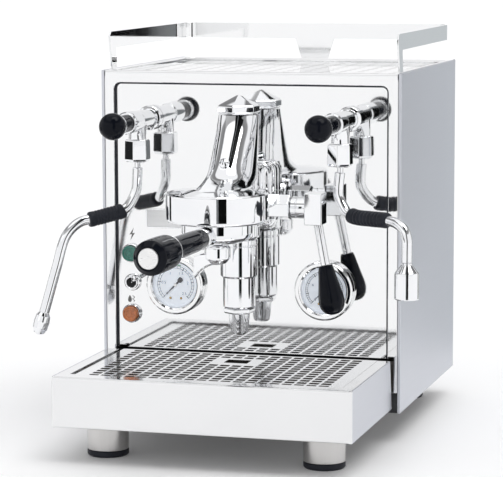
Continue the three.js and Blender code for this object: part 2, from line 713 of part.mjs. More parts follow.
function dripTray() {
  const skin = 1.5;
  const profile = polygon([
    [TRAY_FRONT, TRAY_BOTTOM], [TRAY_FRONT, TRAY_TOP], [TRAY_REAR_TOP, TRAY_TOP],
    [TRAY_REAR_BOTTOM, TRAY_BOTTOM],
  ]);
  const basin = polygon([
    [TRAY_FRONT + skin, TRAY_FLOOR + skin], [TRAY_FRONT + skin, TRAY_TOP - skin],
    [TRAY_REAR_TOP - skin, TRAY_TOP - skin], [TRAY_REAR_BOTTOM - 3, TRAY_FLOOR + skin],
  ]);
  const under = polygon([
    [TRAY_FRONT + skin, TRAY_BOTTOM - 1], [TRAY_FRONT + skin, TRAY_FLOOR], [10, TRAY_FLOOR],
    [10, TRAY_BOTTOM - 1],
  ]);
  const mouth = box(
    -TRAY_HALF + TRAY_FLANGE, TRAY_HALF - TRAY_FLANGE, TRAY_FRONT + TRAY_LIP, TRAY_REAR_TOP - skin,
    TRAY_TOP - 4, TRAY_TOP + 1,
  );
  // The grid runs out over the back wall, which is lower than the rim.
  const rear = box(-TRAY_HALF + TRAY_FLANGE, TRAY_HALF - TRAY_FLANGE, -30, 10, GRID_TOP - 2.3, TRAY_TOP + 1);
  const shell = cut(
    sideways(profile, -TRAY_HALF, TRAY_HALF),
    sideways(basin, -TRAY_HALF + skin, TRAY_HALF - skin),
    sideways(under, -TRAY_HALF + skin, TRAY_HALF - skin),
    mouth,
    rear,
  );
  // The rim is folded down and inwards, so that the grid lies on a ledge.
  const rimHalf = TRAY_HALF - TRAY_FLANGE;
  const rimFront = TRAY_FRONT + TRAY_LIP;
  const rimBack = TRAY_REAR_TOP - 4;
  const ledge = GRID_TOP - 2.1;
  const folds = [
    box(-rimHalf - skin, rimHalf + skin, rimFront - skin, rimFront + 0.01, ledge - skin, TRAY_TOP - 1),
    box(-rimHalf - skin, rimHalf + skin, rimFront - skin, rimFront + 6, ledge - skin, ledge),
  ];
  for (const side of [-1, 1]) {
    const outer = side * (rimHalf + skin);
    const [wallLow, wallHigh] = [side * rimHalf, outer].sort((a, b) => a - b);
    const [ledgeLow, ledgeHigh] = [side * (rimHalf - 6), outer].sort((a, b) => a - b);
    folds.push(box(wallLow, wallHigh, rimFront, rimBack, ledge - skin, TRAY_TOP - 1));
    folds.push(box(ledgeLow, ledgeHigh, rimFront, rimBack, ledge - skin, ledge));
  }
  return join(shell, ...folds);
}

function dripGrid() {
  const half = TRAY_HALF - TRAY_FLANGE - 2;
  const front = TRAY_FRONT + TRAY_LIP + 2;
  const [low, high] = [GRID_TOP - 5, GRID_TOP + 5];
  const openings = [box(-11.5, 11.5, -51, -33, low, high)];
  for (let row = 0; row < 12; row += 1) {
    const y = -145 + row * 11;
    for (const side of [-1, 1]) {
      const besideFinger = y > -70 && y < -25;
      for (const x of besideFinger ? [51, 98] : [27, 74, 109]) {
        const reach = x > 100 ? 9 : 21;
        openings.push(box(side * x - reach, side * x + reach, y, y + 5.5, low, high));
      }
    }
  }
  return cut(box(-half, half, front, -3, GRID_TOP - 1.8, GRID_TOP), ...openings);
}

addCabinet();
addFeet();
addWorks();
addGroup();
addLever();
addPortafilter();
addValves();
addInstruments();
add('drip_tray', dripTray(), polished());
add('drip_grid', dripGrid(), satin());

// Origin at the bottom centre of the bounding box.
const bounds = new THREE.Box3().setFromObject(machine);
const centre = bounds.getCenter(new THREE.Vector3());
machine.position.set(-centre.x, -centre.y, -bounds.min.z);

export default machine;
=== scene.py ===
import math

import bmesh
import bpy
from mathutils import Matrix, Vector


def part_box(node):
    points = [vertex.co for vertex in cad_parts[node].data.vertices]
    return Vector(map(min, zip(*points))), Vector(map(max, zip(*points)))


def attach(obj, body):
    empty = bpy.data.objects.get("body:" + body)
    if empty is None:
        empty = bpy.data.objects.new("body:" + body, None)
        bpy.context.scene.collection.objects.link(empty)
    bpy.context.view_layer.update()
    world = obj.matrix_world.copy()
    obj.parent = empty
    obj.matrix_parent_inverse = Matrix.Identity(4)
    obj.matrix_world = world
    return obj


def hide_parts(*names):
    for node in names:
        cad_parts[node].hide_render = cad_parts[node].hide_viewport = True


# Espresso machine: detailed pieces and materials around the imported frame.
# Shapes are drawn in millimetres from the design origin: X = 0 on the centre plane, Y = 0 on the
# front of the cabinet and Z = 0 on the counter. ORIGIN carries them into the frame.

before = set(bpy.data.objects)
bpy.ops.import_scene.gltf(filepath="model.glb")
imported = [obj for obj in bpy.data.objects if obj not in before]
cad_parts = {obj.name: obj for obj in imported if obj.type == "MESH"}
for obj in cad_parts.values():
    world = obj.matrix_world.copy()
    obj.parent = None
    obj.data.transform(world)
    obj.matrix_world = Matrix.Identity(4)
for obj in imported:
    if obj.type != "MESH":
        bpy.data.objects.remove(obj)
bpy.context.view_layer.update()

MM = 0.001
left_low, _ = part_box("left_side_panel")
_, right_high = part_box("right_side_panel")
ORIGIN = Vector(((left_low.x + right_high.x) / 2, left_low.y, 0))

# ---- driving dimensions, in millimetres ---------------------------------------------------------

BODY_HALF = 150
BODY_DEPTH = 266
BODY_TOP = 354.8
BODY_BOTTOM = 28.6
SHEET = 1.3
FRAME_OUTER_HALF = BODY_HALF - 3.3
FRAME_INNER_HALF = 137.3
FRAME_LINTEL = 343.2
PANEL_FRONT = 4
TRAY_HALF = 142.7
TRAY_FRONT = -168.7
TRAY_BOTTOM = 33.6
TRAY_TOP = 81.5
TRAY_FLANGE = 12.2
TRAY_LIP = 16.7
GRID_TOP = 80
FOOT_RADIUS = 19.6
PAD_HEIGHT = 6
LID_HALF = 141.3
LID_FRONT = 9.5
LID_BACK = 248
LID_TOP = 351.2
RAIL_HALF = 145
RAIL_BACK = 257.5
RAIL_TOP = 391.99
RAIL_BAND = 376.2
GROUP_Y = -36
HEAD_Y = -108
CAM_Z = 229.5
HANDLE_Z = 212.2
HANDLE_TURN = 0.035
VALVE_X = 100
KNOB_RADIUS = 12.7
WAND_Y = -40
WAND_RADIUS = 4.9
GAUGE_X = 75
GAUGE_Z = 145.5
LAMP_X = -121.5
SWITCH_X = -120.5
SWITCH_Z = 146

UP = Vector((0, 0, 1))
BACK = Vector((0, 1, 0))
RIGHT = Vector((1, 0, 0))


def at(x, y, z):
    return ORIGIN + Vector((x, y, z)) * MM


def placed(name, data):
    """A new object that holds the data, linked to the scene."""
    item = bpy.data.objects.new(name, data)
    bpy.context.scene.collection.objects.link(item)
    return item


def evaluated(item):
    """A new mesh of the object as its modifiers leave it."""
    bpy.context.view_layer.update()
    return bpy.data.meshes.new_from_object(item.evaluated_get(bpy.context.evaluated_depsgraph_get()))


# ---- camera, floor and light --------------------------------------------------------------------

CAMERA_PLACE = (621.3994, -2183.0312, 485.6)
CAMERA_AZIMUTH = math.radians(15.836657)
CAMERA_ELEVATION = math.radians(7.332233)
CAMERA_ROLL = math.radians(-0.156685)


def make_camera():
    data = bpy.data.cameras.new("camera")
    data.lens = 168.996
    data.sensor_width = 36
    data.clip_end = 200
    flat = math.cos(CAMERA_ELEVATION)
    back = Vector((
        math.sin(CAMERA_AZIMUTH) * flat,
        -math.cos(CAMERA_AZIMUTH) * flat,
        math.sin(CAMERA_ELEVATION),
    ))
    level = (-back).cross(UP).normalized()
    upright = level.cross(-back)
    right = level * math.cos(CAMERA_ROLL) + upright * math.sin(CAMERA_ROLL)
    top = upright * math.cos(CAMERA_ROLL) - level * math.sin(CAMERA_ROLL)
    turn = Matrix((right, top, back)).transposed().to_4x4()
    camera = placed("camera", data)
    camera.matrix_world = Matrix.Translation(at(*CAMERA_PLACE)) @ turn
    bpy.context.scene.camera = camera


def heading(degrees):
    """Level direction at that many degrees to the right of the camera, seen from the machine."""
    angle = CAMERA_AZIMUTH + math.radians(degrees)
    return Vector((math.sin(angle), -math.cos(angle), 0))


# Brightness of the sky by height: 0 is level or below, 1 is straight up, and a high band is dim.
SKY = [(0.0, 1.0), (0.50, 0.97), (0.56, 0.32), (0.74, 0.22), (0.78, 1.0), (1.0, 1.0)]

# Dark and bright boards that only reflections see. Each row: name, heading in degrees, width,
# distance, lower edge, upper edge and brightness.
CARDS = [
    ("card_front", 8.9, 260, 940, 5, 3100, 0.004),
    ("card_front_edge", -1, 65, 940, 5, 3100, 0.22),
    ("card_above", 8.9, 1000, 945, 1150, 3100, 0.01),
    ("card_right", 108, 142, 975, 5, 900, 0.01),
    ("card_left", -119, 158, 975, 5, 900, 0.02),
    ("card_right_rear", 131, 300, 975, 5, 975, 0.14),
    ("card_right_far", 137.3, 190, 541, 5, 700, 0.62),
    ("card_nut", -91.9, 60, 356, 225, 300, 0.02),
    ("card_left_rear", -147, 300, 975, 5, 975, 0.20),
]

# Even light from a direction, as from a broad softbox far away: name, direction, softness, strength.
SUNS = [("key", (-0.9, -1.5, 1.9), 60, 0.16), ("top", (0.35, -0.1, 1), 40, 0.92)]


def make_world():
    world = bpy.data.worlds.new("studio")
    world.use_nodes = True
    tree = world.node_tree
    background = tree.nodes["Background"]
    spot = tree.nodes.new("ShaderNodeTexCoord")
    split = tree.nodes.new("ShaderNodeSeparateXYZ")
    ramp = tree.nodes.new("ShaderNodeValToRGB")
    tree.links.new(spot.outputs["Generated"], split.inputs[0])
    tree.links.new(split.outputs["Z"], ramp.inputs[0])
    tree.links.new(ramp.outputs[0], background.inputs["Color"])
    ramp.color_ramp.elements[0].position = SKY[0][0]
    ramp.color_ramp.elements[1].position = SKY[-1][0]
    for height, _ in SKY[1:-1]:
        ramp.color_ramp.elements.new(height)
    for element, (_, level) in zip(ramp.color_ramp.elements, SKY):
        element.color = (level, level, level * 1.01, 1)
    background.inputs["Strength"].default_value = 1.0
    bpy.context.scene.world = world


def board(name, corners):
    """One flat face through four corners."""
    mesh = bpy.data.meshes.new(name)
    mesh.from_pydata([at(*corner) for corner in corners], [], [(0, 1, 2, 3)])
    return placed(name, mesh)


def make_card(name, degrees, width, distance, low, high, level):
    centre = heading(degrees) * distance
    side = UP.cross(heading(degrees)).normalized() * (width / 2)
    a, b = centre - side, centre + side
    card = board(name, [(a.x, a.y, low), (b.x, b.y, low), (b.x, b.y, high), (a.x, a.y, high)])
    paint = bpy.data.materials.new(name)
    paint.use_nodes = True
    tree = paint.node_tree
    tree.nodes.clear()
    glow = tree.nodes.new("ShaderNodeEmission")
    glow.inputs["Color"].default_value = (level * 0.92, level * 0.97, level, 1)
    output = tree.nodes.new("ShaderNodeOutputMaterial")
    tree.links.new(glow.outputs[0], output.inputs["Surface"])
    card.data.materials.append(paint)
    card.visible_camera = False
    card.visible_diffuse = False
    card.visible_shadow = False


def make_sun(name, towards, softness, strength):
    data = bpy.data.lights.new(name, "SUN")
    data.angle = math.radians(softness)
    data.energy = strength
    sun = placed(name, data)
    sun.matrix_world = Vector(towards).to_track_quat("Z", "Y").to_matrix().to_4x4()


def make_floor():
    reach = 60000
    corners = [(-reach, -reach, 0), (reach, -reach, 0), (reach, reach, 0), (-reach, reach, 0)]
    floor = board("floor", corners)
    glow = {"Emission_Color": (1, 1, 1, 1), "Emission_Strength": 0.06}
    look = Look("floor_white", (0.92, 0.92, 0.92), 0.6, **glow).vary("Roughness", 40, 0.55, 0.7)
    floor.data.materials.append(look.material)


def make_studio():
    make_camera()
    make_world()
    make_floor()
    for card in CARDS:
        make_card(*card)
    for sun in SUNS:
        make_sun(*sun)
    bpy.context.scene.view_settings.view_transform = "Standard"


# ---- materials ----------------------------------------------------------------------------------

EVEN = (1, 1, 1)


class Look:
    """A Principled material whose fine detail comes from noise in the piece's own coordinates."""

    def __init__(self, name, color, rough=0.3, metallic=0.0, **extra):
        self.name = name
        self.color = (*color, 1)
        self.material = bpy.data.materials.new(name)
        self.material.use_nodes = True
        self.tree = self.material.node_tree
        self.shader = self.tree.nodes["Principled BSDF"]
        self.fill(self.shader, Base_Color=self.color, Roughness=rough, Metallic=metallic, **extra)
        self.spot = self.node("TexCoord").outputs["Object"]

    @staticmethod
    def fill(node, **values):
        """Give sockets their values; an underscore stands for a blank in a socket's name."""
        for socket, value in values.items():
            node.inputs[socket.replace("_", " ")].default_value = value

    def node(self, kind, **values):
        """A new shader node with its socket values."""
        node = self.tree.nodes.new("ShaderNode" + kind)
        self.fill(node, **values)
        return node

    def noise(self, scale, stretch):
        """Noise in 0..1 with that many cells per metre, longer along an axis whose stretch is small."""
        mapping = self.node("Mapping", Scale=stretch)
        noise = self.node("TexNoise", Scale=scale, Detail=3.0)
        self.tree.links.new(self.spot, mapping.inputs["Vector"])
        self.tree.links.new(mapping.outputs[0], noise.inputs["Vector"])
        return noise.outputs["Fac"]

    def spread(self, value, low, high):
        """Map the middle of a noise onto low..high."""
        ramp = self.node("MapRange", From_Min=0.3, From_Max=0.7, To_Min=low, To_Max=high)
        self.tree.links.new(value, ramp.inputs["Value"])
        return ramp.outputs[0]

    def vary(self, socket, scale, low, high, stretch=EVEN):
        """Let a socket wander between two values."""
        self.tree.links.new(self.spread(self.noise(scale, stretch), low, high), self.shader.inputs[socket])
        return self

    def tint(self, scale, other, stretch=EVEN):
        """Drift the colour towards another one in soft patches."""
        mix = self.tree.nodes.new("ShaderNodeMix")
        mix.data_type = "RGBA"
        self.fill(mix, A=self.color, B=(*other, 1))
        self.tree.links.new(self.spread(self.noise(scale, stretch), 0, 1), mix.inputs["Factor"])
        self.tree.links.new(mix.outputs["Result"], self.shader.inputs["Base Color"])
        return self

    def bump(self, scale, depth, stretch=EVEN):
        """Relief of that depth in millimetres."""
        relief = self.node("Bump", Strength=1.0, Distance=depth * MM)
        self.tree.links.new(self.noise(scale, stretch), relief.inputs["Height"])
        self.tree.links.new(relief.outputs[0], self.shader.inputs["Normal"])
        return self


def make_materials():
    looks = [
        Look("mirror_steel", (0.885, 0.888, 0.89), 0.04, 1)
        .tint(9, (0.865, 0.87, 0.875)).vary("Roughness", 25, 0.03, 0.07).bump(14, 0.004),
        Look("chrome", (0.90, 0.905, 0.915), 0.03, 1)
        .tint(40, (0.86, 0.868, 0.885)).vary("Roughness", 60, 0.02, 0.06).bump(90, 0.002),
        Look("satin_steel", (0.65, 0.665, 0.71), 0.42, 0.8)
        .tint(6, (0.64, 0.655, 0.70)).vary("Roughness", 900, 0.40, 0.44, (0.02, 0.02, 1)),
        Look("grid_steel", (0.86, 0.865, 0.87), 0.14, 1)
        .tint(30, (0.83, 0.835, 0.845)).vary("Roughness", 300, 0.10, 0.18, (1, 0.05, 1)),
        # Stainless darkened as painted shade: it stands for the tray's shadowed inside and the shaded depth
        # of slots.
        Look("tray_painted_shade", (0.17, 0.155, 0.14), 0.45, 0.7)
        .tint(12, (0.14, 0.13, 0.12)).vary("Roughness", 90, 0.32, 0.5).bump(300, 0.006),
        Look("drawer_steel", (0.835, 0.837, 0.842), 0.1, 1)
        .tint(9, (0.815, 0.818, 0.824)).vary("Roughness", 25, 0.07, 0.14).bump(14, 0.003),
        Look("foot_steel", (0.62, 0.61, 0.60), 0.2, 1)
        .tint(40, (0.54, 0.53, 0.52), (1, 1, 0.1)).vary("Roughness", 700, 0.15, 0.26, (1, 1, 0.03))
        .bump(900, 0.004, (1, 1, 0.03)),
        Look("badge_metal", (0.74, 0.745, 0.75), 0.3, 1)
        .tint(200, (0.66, 0.665, 0.67), (0.05, 1, 1)).vary("Roughness", 900, 0.25, 0.45, (0.02, 1, 1))
        .bump(2500, 0.006, (0.02, 1, 1)),
        Look("dark_steel", (0.045, 0.046, 0.05), 0.55, 0.6)
        .tint(60, (0.07, 0.07, 0.075)).vary("Roughness", 250, 0.45, 0.65).bump(900, 0.03),
        # Near-black for painted shade, used for the switch collar's hollow.
        Look("shade_black", (0.015, 0.015, 0.017), 0.6)
        .vary("Roughness", 250, 0.5, 0.75).bump(700, 0.02),
        Look("copper", (0.72, 0.38, 0.22), 0.3, 1)
        .tint(18, (0.50, 0.24, 0.13)).vary("Roughness", 60, 0.2, 0.45).bump(220, 0.02),
        Look("black_gloss", (0.003, 0.004, 0.007), 0.08, Specular_IOR_Level=0.1)
        .tint(50, (0.007, 0.008, 0.012)).vary("Roughness", 120, 0.05, 0.11).bump(160, 0.002),
        Look("rubber", (0.008, 0.010, 0.016), 0.5, Specular_IOR_Level=0.3)
        .tint(90, (0.014, 0.016, 0.024)).vary("Roughness", 400, 0.42, 0.6).bump(1400, 0.015),
        Look("black_plastic", (0.012, 0.012, 0.014), 0.45, Specular_IOR_Level=0.3)
        .tint(40, (0.018, 0.018, 0.021)).vary("Roughness", 200, 0.38, 0.55).bump(1600, 0.012),
        Look("tank_plastic", (0.75, 0.80, 0.84), 0.25, Transmission_Weight=0.5, IOR=1.49)
        .tint(12, (0.68, 0.74, 0.79)).vary("Roughness", 80, 0.2, 0.35).bump(300, 0.02),
        Look("green_lens", (0.006, 0.115, 0.085), 0.15, Coat_Weight=0.8, Coat_Roughness=0.03)
        .tint(500, (0.012, 0.19, 0.14)).vary("Roughness", 300, 0.12, 0.25).bump(1200, 0.02),
        Look("orange_lens", (0.62, 0.17, 0.03), 0.15, Coat_Weight=0.8, Coat_Roughness=0.03)
        .tint(500, (0.36, 0.10, 0.02)).vary("Roughness", 300, 0.12, 0.25).bump(1200, 0.02),
        # The dial's emission is painted light: a glow standing in for frontal light on the face behind its
        # glass.
        Look("dial", (0.80, 0.84, 0.90), 0.5, Emission_Color=(0.86, 0.92, 1.0, 1), Emission_Strength=0.3)
        .tint(60, (0.83, 0.87, 0.92)).vary("Roughness", 300, 0.45, 0.6).bump(2500, 0.004),
        Look("ink", (0.02, 0.02, 0.024), 0.5)
        .tint(300, (0.035, 0.035, 0.04)).vary("Roughness", 600, 0.4, 0.6).bump(2500, 0.003),
        Look("grey_ink", (0.13, 0.13, 0.13), 0.5)
        .tint(300, (0.17, 0.17, 0.16)).vary("Roughness", 600, 0.4, 0.6).bump(2500, 0.003),
        Look("green_ink", (0.03, 0.25, 0.09), 0.5)
        .tint(300, (0.04, 0.30, 0.11)).vary("Roughness", 600, 0.4, 0.6).bump(2500, 0.003),
        Look("brass", (0.80, 0.55, 0.20), 0.2, 1)
        .tint(300, (0.65, 0.42, 0.14)).vary("Roughness", 400, 0.15, 0.3).bump(1500, 0.004),
        Look("end_cap", (0.88, 0.88, 0.87), 0.3, 0.7)
        .tint(90, (0.80, 0.80, 0.80)).vary("Roughness", 900, 0.25, 0.4, (0.1, 1, 1)).bump(1800, 0.003),
    ]
    return {look.name: look.material for look in looks}


def make_glass():
    """Thin clear sheet: mirror-like at a slant, clear when seen straight on."""
    look = Look("gauge_glass", (1, 1, 1), 0.02, 1).vary("Roughness", 50, 0.01, 0.03)
    clear = look.node("BsdfTransparent")
    mix = look.node("MixShader")
    fresnel = look.node("Fresnel", IOR=1.45)
    links = look.tree.links
    links.new(fresnel.outputs[0], mix.inputs[0])
    links.new(clear.outputs[0], mix.inputs[1])
    links.new(look.shader.outputs[0], mix.inputs[2])
    links.new(mix.outputs[0], look.tree.nodes["Material Output"].inputs["Surface"])
    return look.material


make_studio()
MATERIALS = make_materials()
MATERIALS["glass"] = make_glass()

# ---- shapes: a shape is a list of points and a list of faces ------------------------------------


def merged(*shapes):
    points, faces = [], []
    for more_points, more_faces in shapes:
        base = len(points)
        points.extend(more_points)
        faces.extend([[i + base for i in face] for face in more_faces])
    return points, faces


def moved(shape, x=0, y=0, z=0):
    offset = Vector((x, y, z))
    return [p + offset for p in shape[0]], shape[1]


def aimed(shape, direction, roll=0):
    """Turn a shape built along +Z so that it points in a direction."""
    turn = UP.rotation_difference(Vector(direction)) @ Matrix.Rotation(roll, 3, "Z").to_quaternion()
    return [turn @ p for p in shape[0]], shape[1]


def spun(shape, angle):
    """Turn a shape about the Y axis."""
    turn = Matrix.Rotation(angle, 3, "Y")
    return [turn @ p for p in shape[0]], shape[1]


def mirrored(shape):
    """The shape on the other side of the centre plane."""
    return [Vector((-p.x, p.y, p.z)) for p in shape[0]], [face[::-1] for face in shape[1]]


def rounded(points, loop=False, steps=4):
    """Replace each corner that has a third value, its radius, by an arc."""
    result = []
    count = len(points)
    for i, point in enumerate(points):
        corner = Vector(point[:2])
        radius = point[2] if len(point) > 2 else 0
        if radius == 0 or (not loop and i in (0, count - 1)):
            result.append(corner)
            continue
        before = Vector(points[i - 1][:2]) - corner
        after = Vector(points[(i + 1) % count][:2]) - corner
        half = before.angle(after) / 2
        reach = min(radius / math.tan(half), before.length * 0.49, after.length * 0.49)
        middle = corner + (before.normalized() + after.normalized()).normalized() * (reach / math.cos(half))
        start = corner + before.normalized() * reach - middle
        end = corner + after.normalized() * reach - middle
        turn = math.atan2(start.x * end.y - start.y * end.x, start.dot(end))
        for k in range(steps + 1):
            spin = Matrix.Rotation(turn * k / steps, 2)
            result.append(middle + spin @ start)
    return result


def rings(loops, closed_loop=False, capped=True):
    """Join rings of equally many points into a skin; a ring of one point closes it."""
    points, faces, starts = [], [], []
    for loop in loops:
        starts.append(len(points))
        points.extend(loop)
    pairs = list(zip(range(len(loops)), range(1, len(loops))))
    if closed_loop:
        pairs.append((len(loops) - 1, 0))
    for a, b in pairs:
        small, large = len(loops[a]), len(loops[b])
        count = max(small, large)
        for i in range(count):
            j = (i + 1) % count
            if small == 1:
                faces.append([starts[a], starts[b] + i, starts[b] + j])
            elif large == 1:
                faces.append([starts[a] + i, starts[b], starts[a] + j])
            else:
                faces.append([starts[a] + i, starts[b] + i, starts[b] + j, starts[a] + j])
    if capped and not closed_loop:
        for index in (0, len(loops) - 1):
            if len(loops[index]) > 2:
                faces.append([starts[index] + i for i in range(len(loops[index]))])
    return points, faces


def circle(radius, z, count):
    if radius < 1e-6:
        return [Vector((0, 0, z))]
    turn = 2 * math.pi / count
    return [Vector((radius * math.cos(turn * i), radius * math.sin(turn * i), z)) for i in range(count)]


def lathe(profile, count=72, hollow=False):
    """Turn [radius, height, corner radius] about +Z; a hollow profile closes on itself."""
    outline = rounded(profile, loop=hollow)
    return rings([circle(max(p.x, 0), p.y, count) for p in outline], closed_loop=hollow)


def rod(radius, low, high, count=48, edge=0.4):
    return lathe([(0, low), (radius, low, edge), (radius, high, edge), (0, high)], count)


def prism(outline, low, high, plane="xy"):
    """Extrude a closed outline; plane names the two axes that it is drawn in."""
    flat = rounded(outline, loop=True)
    place = {
        "xy": lambda p, h: Vector((p.x, p.y, h)),
        "xz": lambda p, h: Vector((p.x, h, p.y)),
        "yz": lambda p, h: Vector((h, p.x, p.y)),
    }[plane]
    return rings([[place(p, low) for p in flat], [place(p, high) for p in flat]])


def plate(x0, x1, y0, y1, corner, low, high, plane="xz"):
    """Extrude a rectangle with rounded corners."""
    outline = [(x0, y0, corner), (x1, y0, corner), (x1, y1, corner), (x0, y1, corner)]
    return prism(outline, low, high, plane)


def block(x0, x1, y0, y1, z0, z1):
    return prism([(x0, y0), (x1, y0), (x1, y1), (x0, y1)], z0, z1)


def catmull_rom(points, count):
    """Centripetal curve through the points, resampled at equal steps of its length."""
    knots = [Vector(p) for p in points]
    knots = [2 * knots[0] - knots[1]] + knots + [2 * knots[-1] - knots[-2]]
    dense = []
    for i in range(1, len(knots) - 2):
        p0, p1, p2, p3 = knots[i - 1:i + 3]
        t0, t1, t2 = [math.sqrt((b - a).length) for a, b in ((p0, p1), (p1, p2), (p2, p3))]
        m1 = ((p1 - p0) / t0 - (p2 - p0) / (t0 + t1) + (p2 - p1) / t1) * t1
        m2 = ((p2 - p1) / t1 - (p3 - p1) / (t1 + t2) + (p3 - p2) / t2) * t1
        for k in range(20):
            t = k / 20
            dense.append(
                p1 * (2 * t**3 - 3 * t**2 + 1) + m1 * (t**3 - 2 * t**2 + t)
                + p2 * (3 * t**2 - 2 * t**3) + m2 * (t**3 - t**2)
            )
    dense.append(knots[-2])
    return resampled(dense, 0, 1, count)


def distances(path):
    """How far along a path each of its points lies."""
    reach = [0]
    for a, b in zip(path, path[1:]):
        reach.append(reach[-1] + (b - a).length)
    return reach


def resampled(path, start, end, count):
    """Points at equal steps between two fractions of a path's length."""
    reach = distances(path)
    result = []
    k = 0
    for i in range(count + 1):
        goal = reach[-1] * (start + (end - start) * i / count)
        while k < len(path) - 2 and reach[k + 1] < goal:
            k += 1
        share = (goal - reach[k]) / (reach[k + 1] - reach[k])
        result.append(path[k].lerp(path[k + 1], min(max(share, 0), 1)))
    return result


def sweep(path, section):
    """Carry sections, one list of flat points for each point of the path, along it without twist."""
    loops = []
    normal = None
    for i, point in enumerate(path):
        tangent = (path[min(i + 1, len(path) - 1)] - path[max(i - 1, 0)]).normalized()
        if normal is None:
            normal = tangent.orthogonal().normalized()
        normal = (normal - tangent * normal.dot(tangent)).normalized()
        side = tangent.cross(normal)
        loops.append([point + normal * p.x + side * p.y for p in section(i)])
    return rings(loops)


def eased(rows, steps):
    """Rows of numbers with in-between rows on a smooth curve through every column."""
    padded = [rows[0]] + rows + [rows[-1]]
    result = []
    for i in range(1, len(padded) - 2):
        for k in range(steps):
            t = k / steps
            result.append([
                b + 0.5 * t * (c - a + t * (2 * a - 5 * b + 4 * c - d + t * (3 * (b - c) + d - a)))
                for a, b, c, d in zip(*padded[i - 1:i + 3])
            ])
    result.append(rows[-1])
    return result


def tube(path, radius, count=28):
    """Round bar along a path; radius is a number or a list, one for each point."""
    radii = radius if isinstance(radius, list) else [radius] * len(path)
    return sweep(path, lambda i: circle(radii[i], 0, count))


def perforated(xs, ys, filled, low, high):
    """Flat plate from a grid of break lines, open where filled(column, row) is false."""
    index, points, faces = {}, [], []

    def corner(i, j, level):
        key = (i, j, level)
        if key not in index:
            index[key] = len(points)
            points.append(Vector((xs[i], ys[j], high if level else low)))
        return index[key]

    columns, rows = len(xs) - 1, len(ys) - 1

    def is_solid(i, j):
        return 0 <= i < columns and 0 <= j < rows and filled(i, j)

    for i in range(columns):
        for j in range(rows):
            if not filled(i, j):
                continue
            around = [(i, j), (i + 1, j), (i + 1, j + 1), (i, j + 1)]
            faces.append([corner(*c, 1) for c in around])
            faces.append([corner(*c, 0) for c in reversed(around)])
            beyond = [(i, j - 1), (i + 1, j), (i, j + 1), (i - 1, j)]
            for side, neighbour in enumerate(beyond):
                if not is_solid(*neighbour):
                    a, b = around[side], around[(side + 1) % 4]
                    faces.append([corner(*a, 0), corner(*b, 0), corner(*b, 1), corner(*a, 1)])
    return points, faces


def moulding(section, path):
    """Extrude a section of (offset to the left, height) along a level path with mitred corners."""
    loops = []
    outline = rounded(section, loop=True)
    line = [Vector((*p, 0)) for p in path]
    for i, point in enumerate(line):
        before = (point - line[i - 1]).normalized() if i > 0 else None
        after = (line[i + 1] - point).normalized() if i < len(line) - 1 else None
        first = UP.cross(before or after)
        second = UP.cross(after or before)
        mitre = (first + second).normalized()
        mitre /= mitre.dot(first)
        loops.append([point + mitre * p.x + UP * p.y for p in outline])
    return rings(loops)


def upright(shape):
    """Stand a shape drawn level on the mirror sheet, with its top towards the front."""
    return [Vector((p.x, PANEL_FRONT - p.z, p.y)) for p in shape[0]], shape[1]


def strip(line, low, high):
    """Break points for slots: pairs of edges around each centre."""
    return sorted({edge for centre in line for edge in (centre - low, centre + high)})


# ---- pieces -------------------------------------------------------------------------------------


def to_mesh(name, shape):
    mesh = bpy.data.meshes.new(name)
    mesh.from_pydata([ORIGIN + p * MM for p in shape[0]], [], shape[1])
    work = bmesh.new()
    work.from_mesh(mesh)
    bmesh.ops.remove_doubles(work, verts=work.verts, dist=1e-7)
    bmesh.ops.recalc_face_normals(work, faces=work.faces)
    work.to_mesh(mesh)
    work.free()
    return mesh


def shade(mesh, angle):
    for face in mesh.polygons:
        face.use_smooth = True
    mesh.set_sharp_from_angle(angle=math.radians(angle))


def dress(item, body, slot, look, replaces):
    """Give a piece its material, from its look or else its slot, the body it rides on, and hide the CAD
    nodes it stands for.
    """
    item.data.materials.append(MATERIALS[look or slot])
    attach(item, body)
    if replaces:
        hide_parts(*replaces)


def piece(name, shape, body="cabinet", slot="chrome", look=None, replaces=(), bevel=0, edge_steps=3,
          angle=32):
    """Place a shape as a finished piece; its look is that of its slot unless another is named."""
    mesh = to_mesh(name, shape)
    shade(mesh, angle)
    item = placed(name, mesh)
    if bevel:
        soften = item.modifiers.new("edges", "BEVEL")
        soften.width = bevel * MM
        soften.segments = edge_steps
        soften.limit_method = "ANGLE"
        soften.angle_limit = math.radians(30)
        soften.harden_normals = False
        soften.use_clamp_overlap = True
    weigh = item.modifiers.new("normals", "WEIGHTED_NORMAL")
    weigh.keep_sharp = True
    dress(item, body, slot, look, replaces)


def cast(name, shapes, body="cabinet", slot="chrome", voxel=1.0, rounds=9):
    """Fuse overlapping shapes into one casting with soft fillets where they meet."""
    item = placed(name, to_mesh(name + "_raw", merged(*shapes)))
    remesh = item.modifiers.new("fuse", "REMESH")
    remesh.mode = "VOXEL"
    remesh.voxel_size = voxel * MM
    smooth = item.modifiers.new("fillets", "SMOOTH")
    smooth.iterations = rounds
    smooth.factor = 0.6
    fused = evaluated(item)
    item.modifiers.clear()
    item.data = fused
    shade(fused, 180)
    dress(item, body, slot, None, ())


def finish_node(node, look):
    """Give a CAD node that keeps its own shape a detailed material."""
    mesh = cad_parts[node].data
    mesh.materials.clear()
    mesh.materials.append(MATERIALS[look])


def lettering(text, size, x, z, y):
    """Flat figures facing the front, as a shape centred on (x, z)."""
    curve = bpy.data.curves.new("figures", "FONT")
    curve.body = text
    curve.size = size
    curve.align_x = "CENTER"
    curve.align_y = "CENTER"
    curve.resolution_u = 3
    curve.extrude = 0.03
    holder = placed("figures", curve)
    mesh = evaluated(holder)
    points = [Vector((v.co.x + x, y - v.co.z, v.co.y + z)) for v in mesh.vertices]
    faces = [list(face.vertices) for face in mesh.polygons]
    bpy.data.objects.remove(holder)
    bpy.data.curves.remove(curve)
    bpy.data.meshes.remove(mesh)
    return points, faces


# ---- cabinet ------------------------------------------------------------------------------------


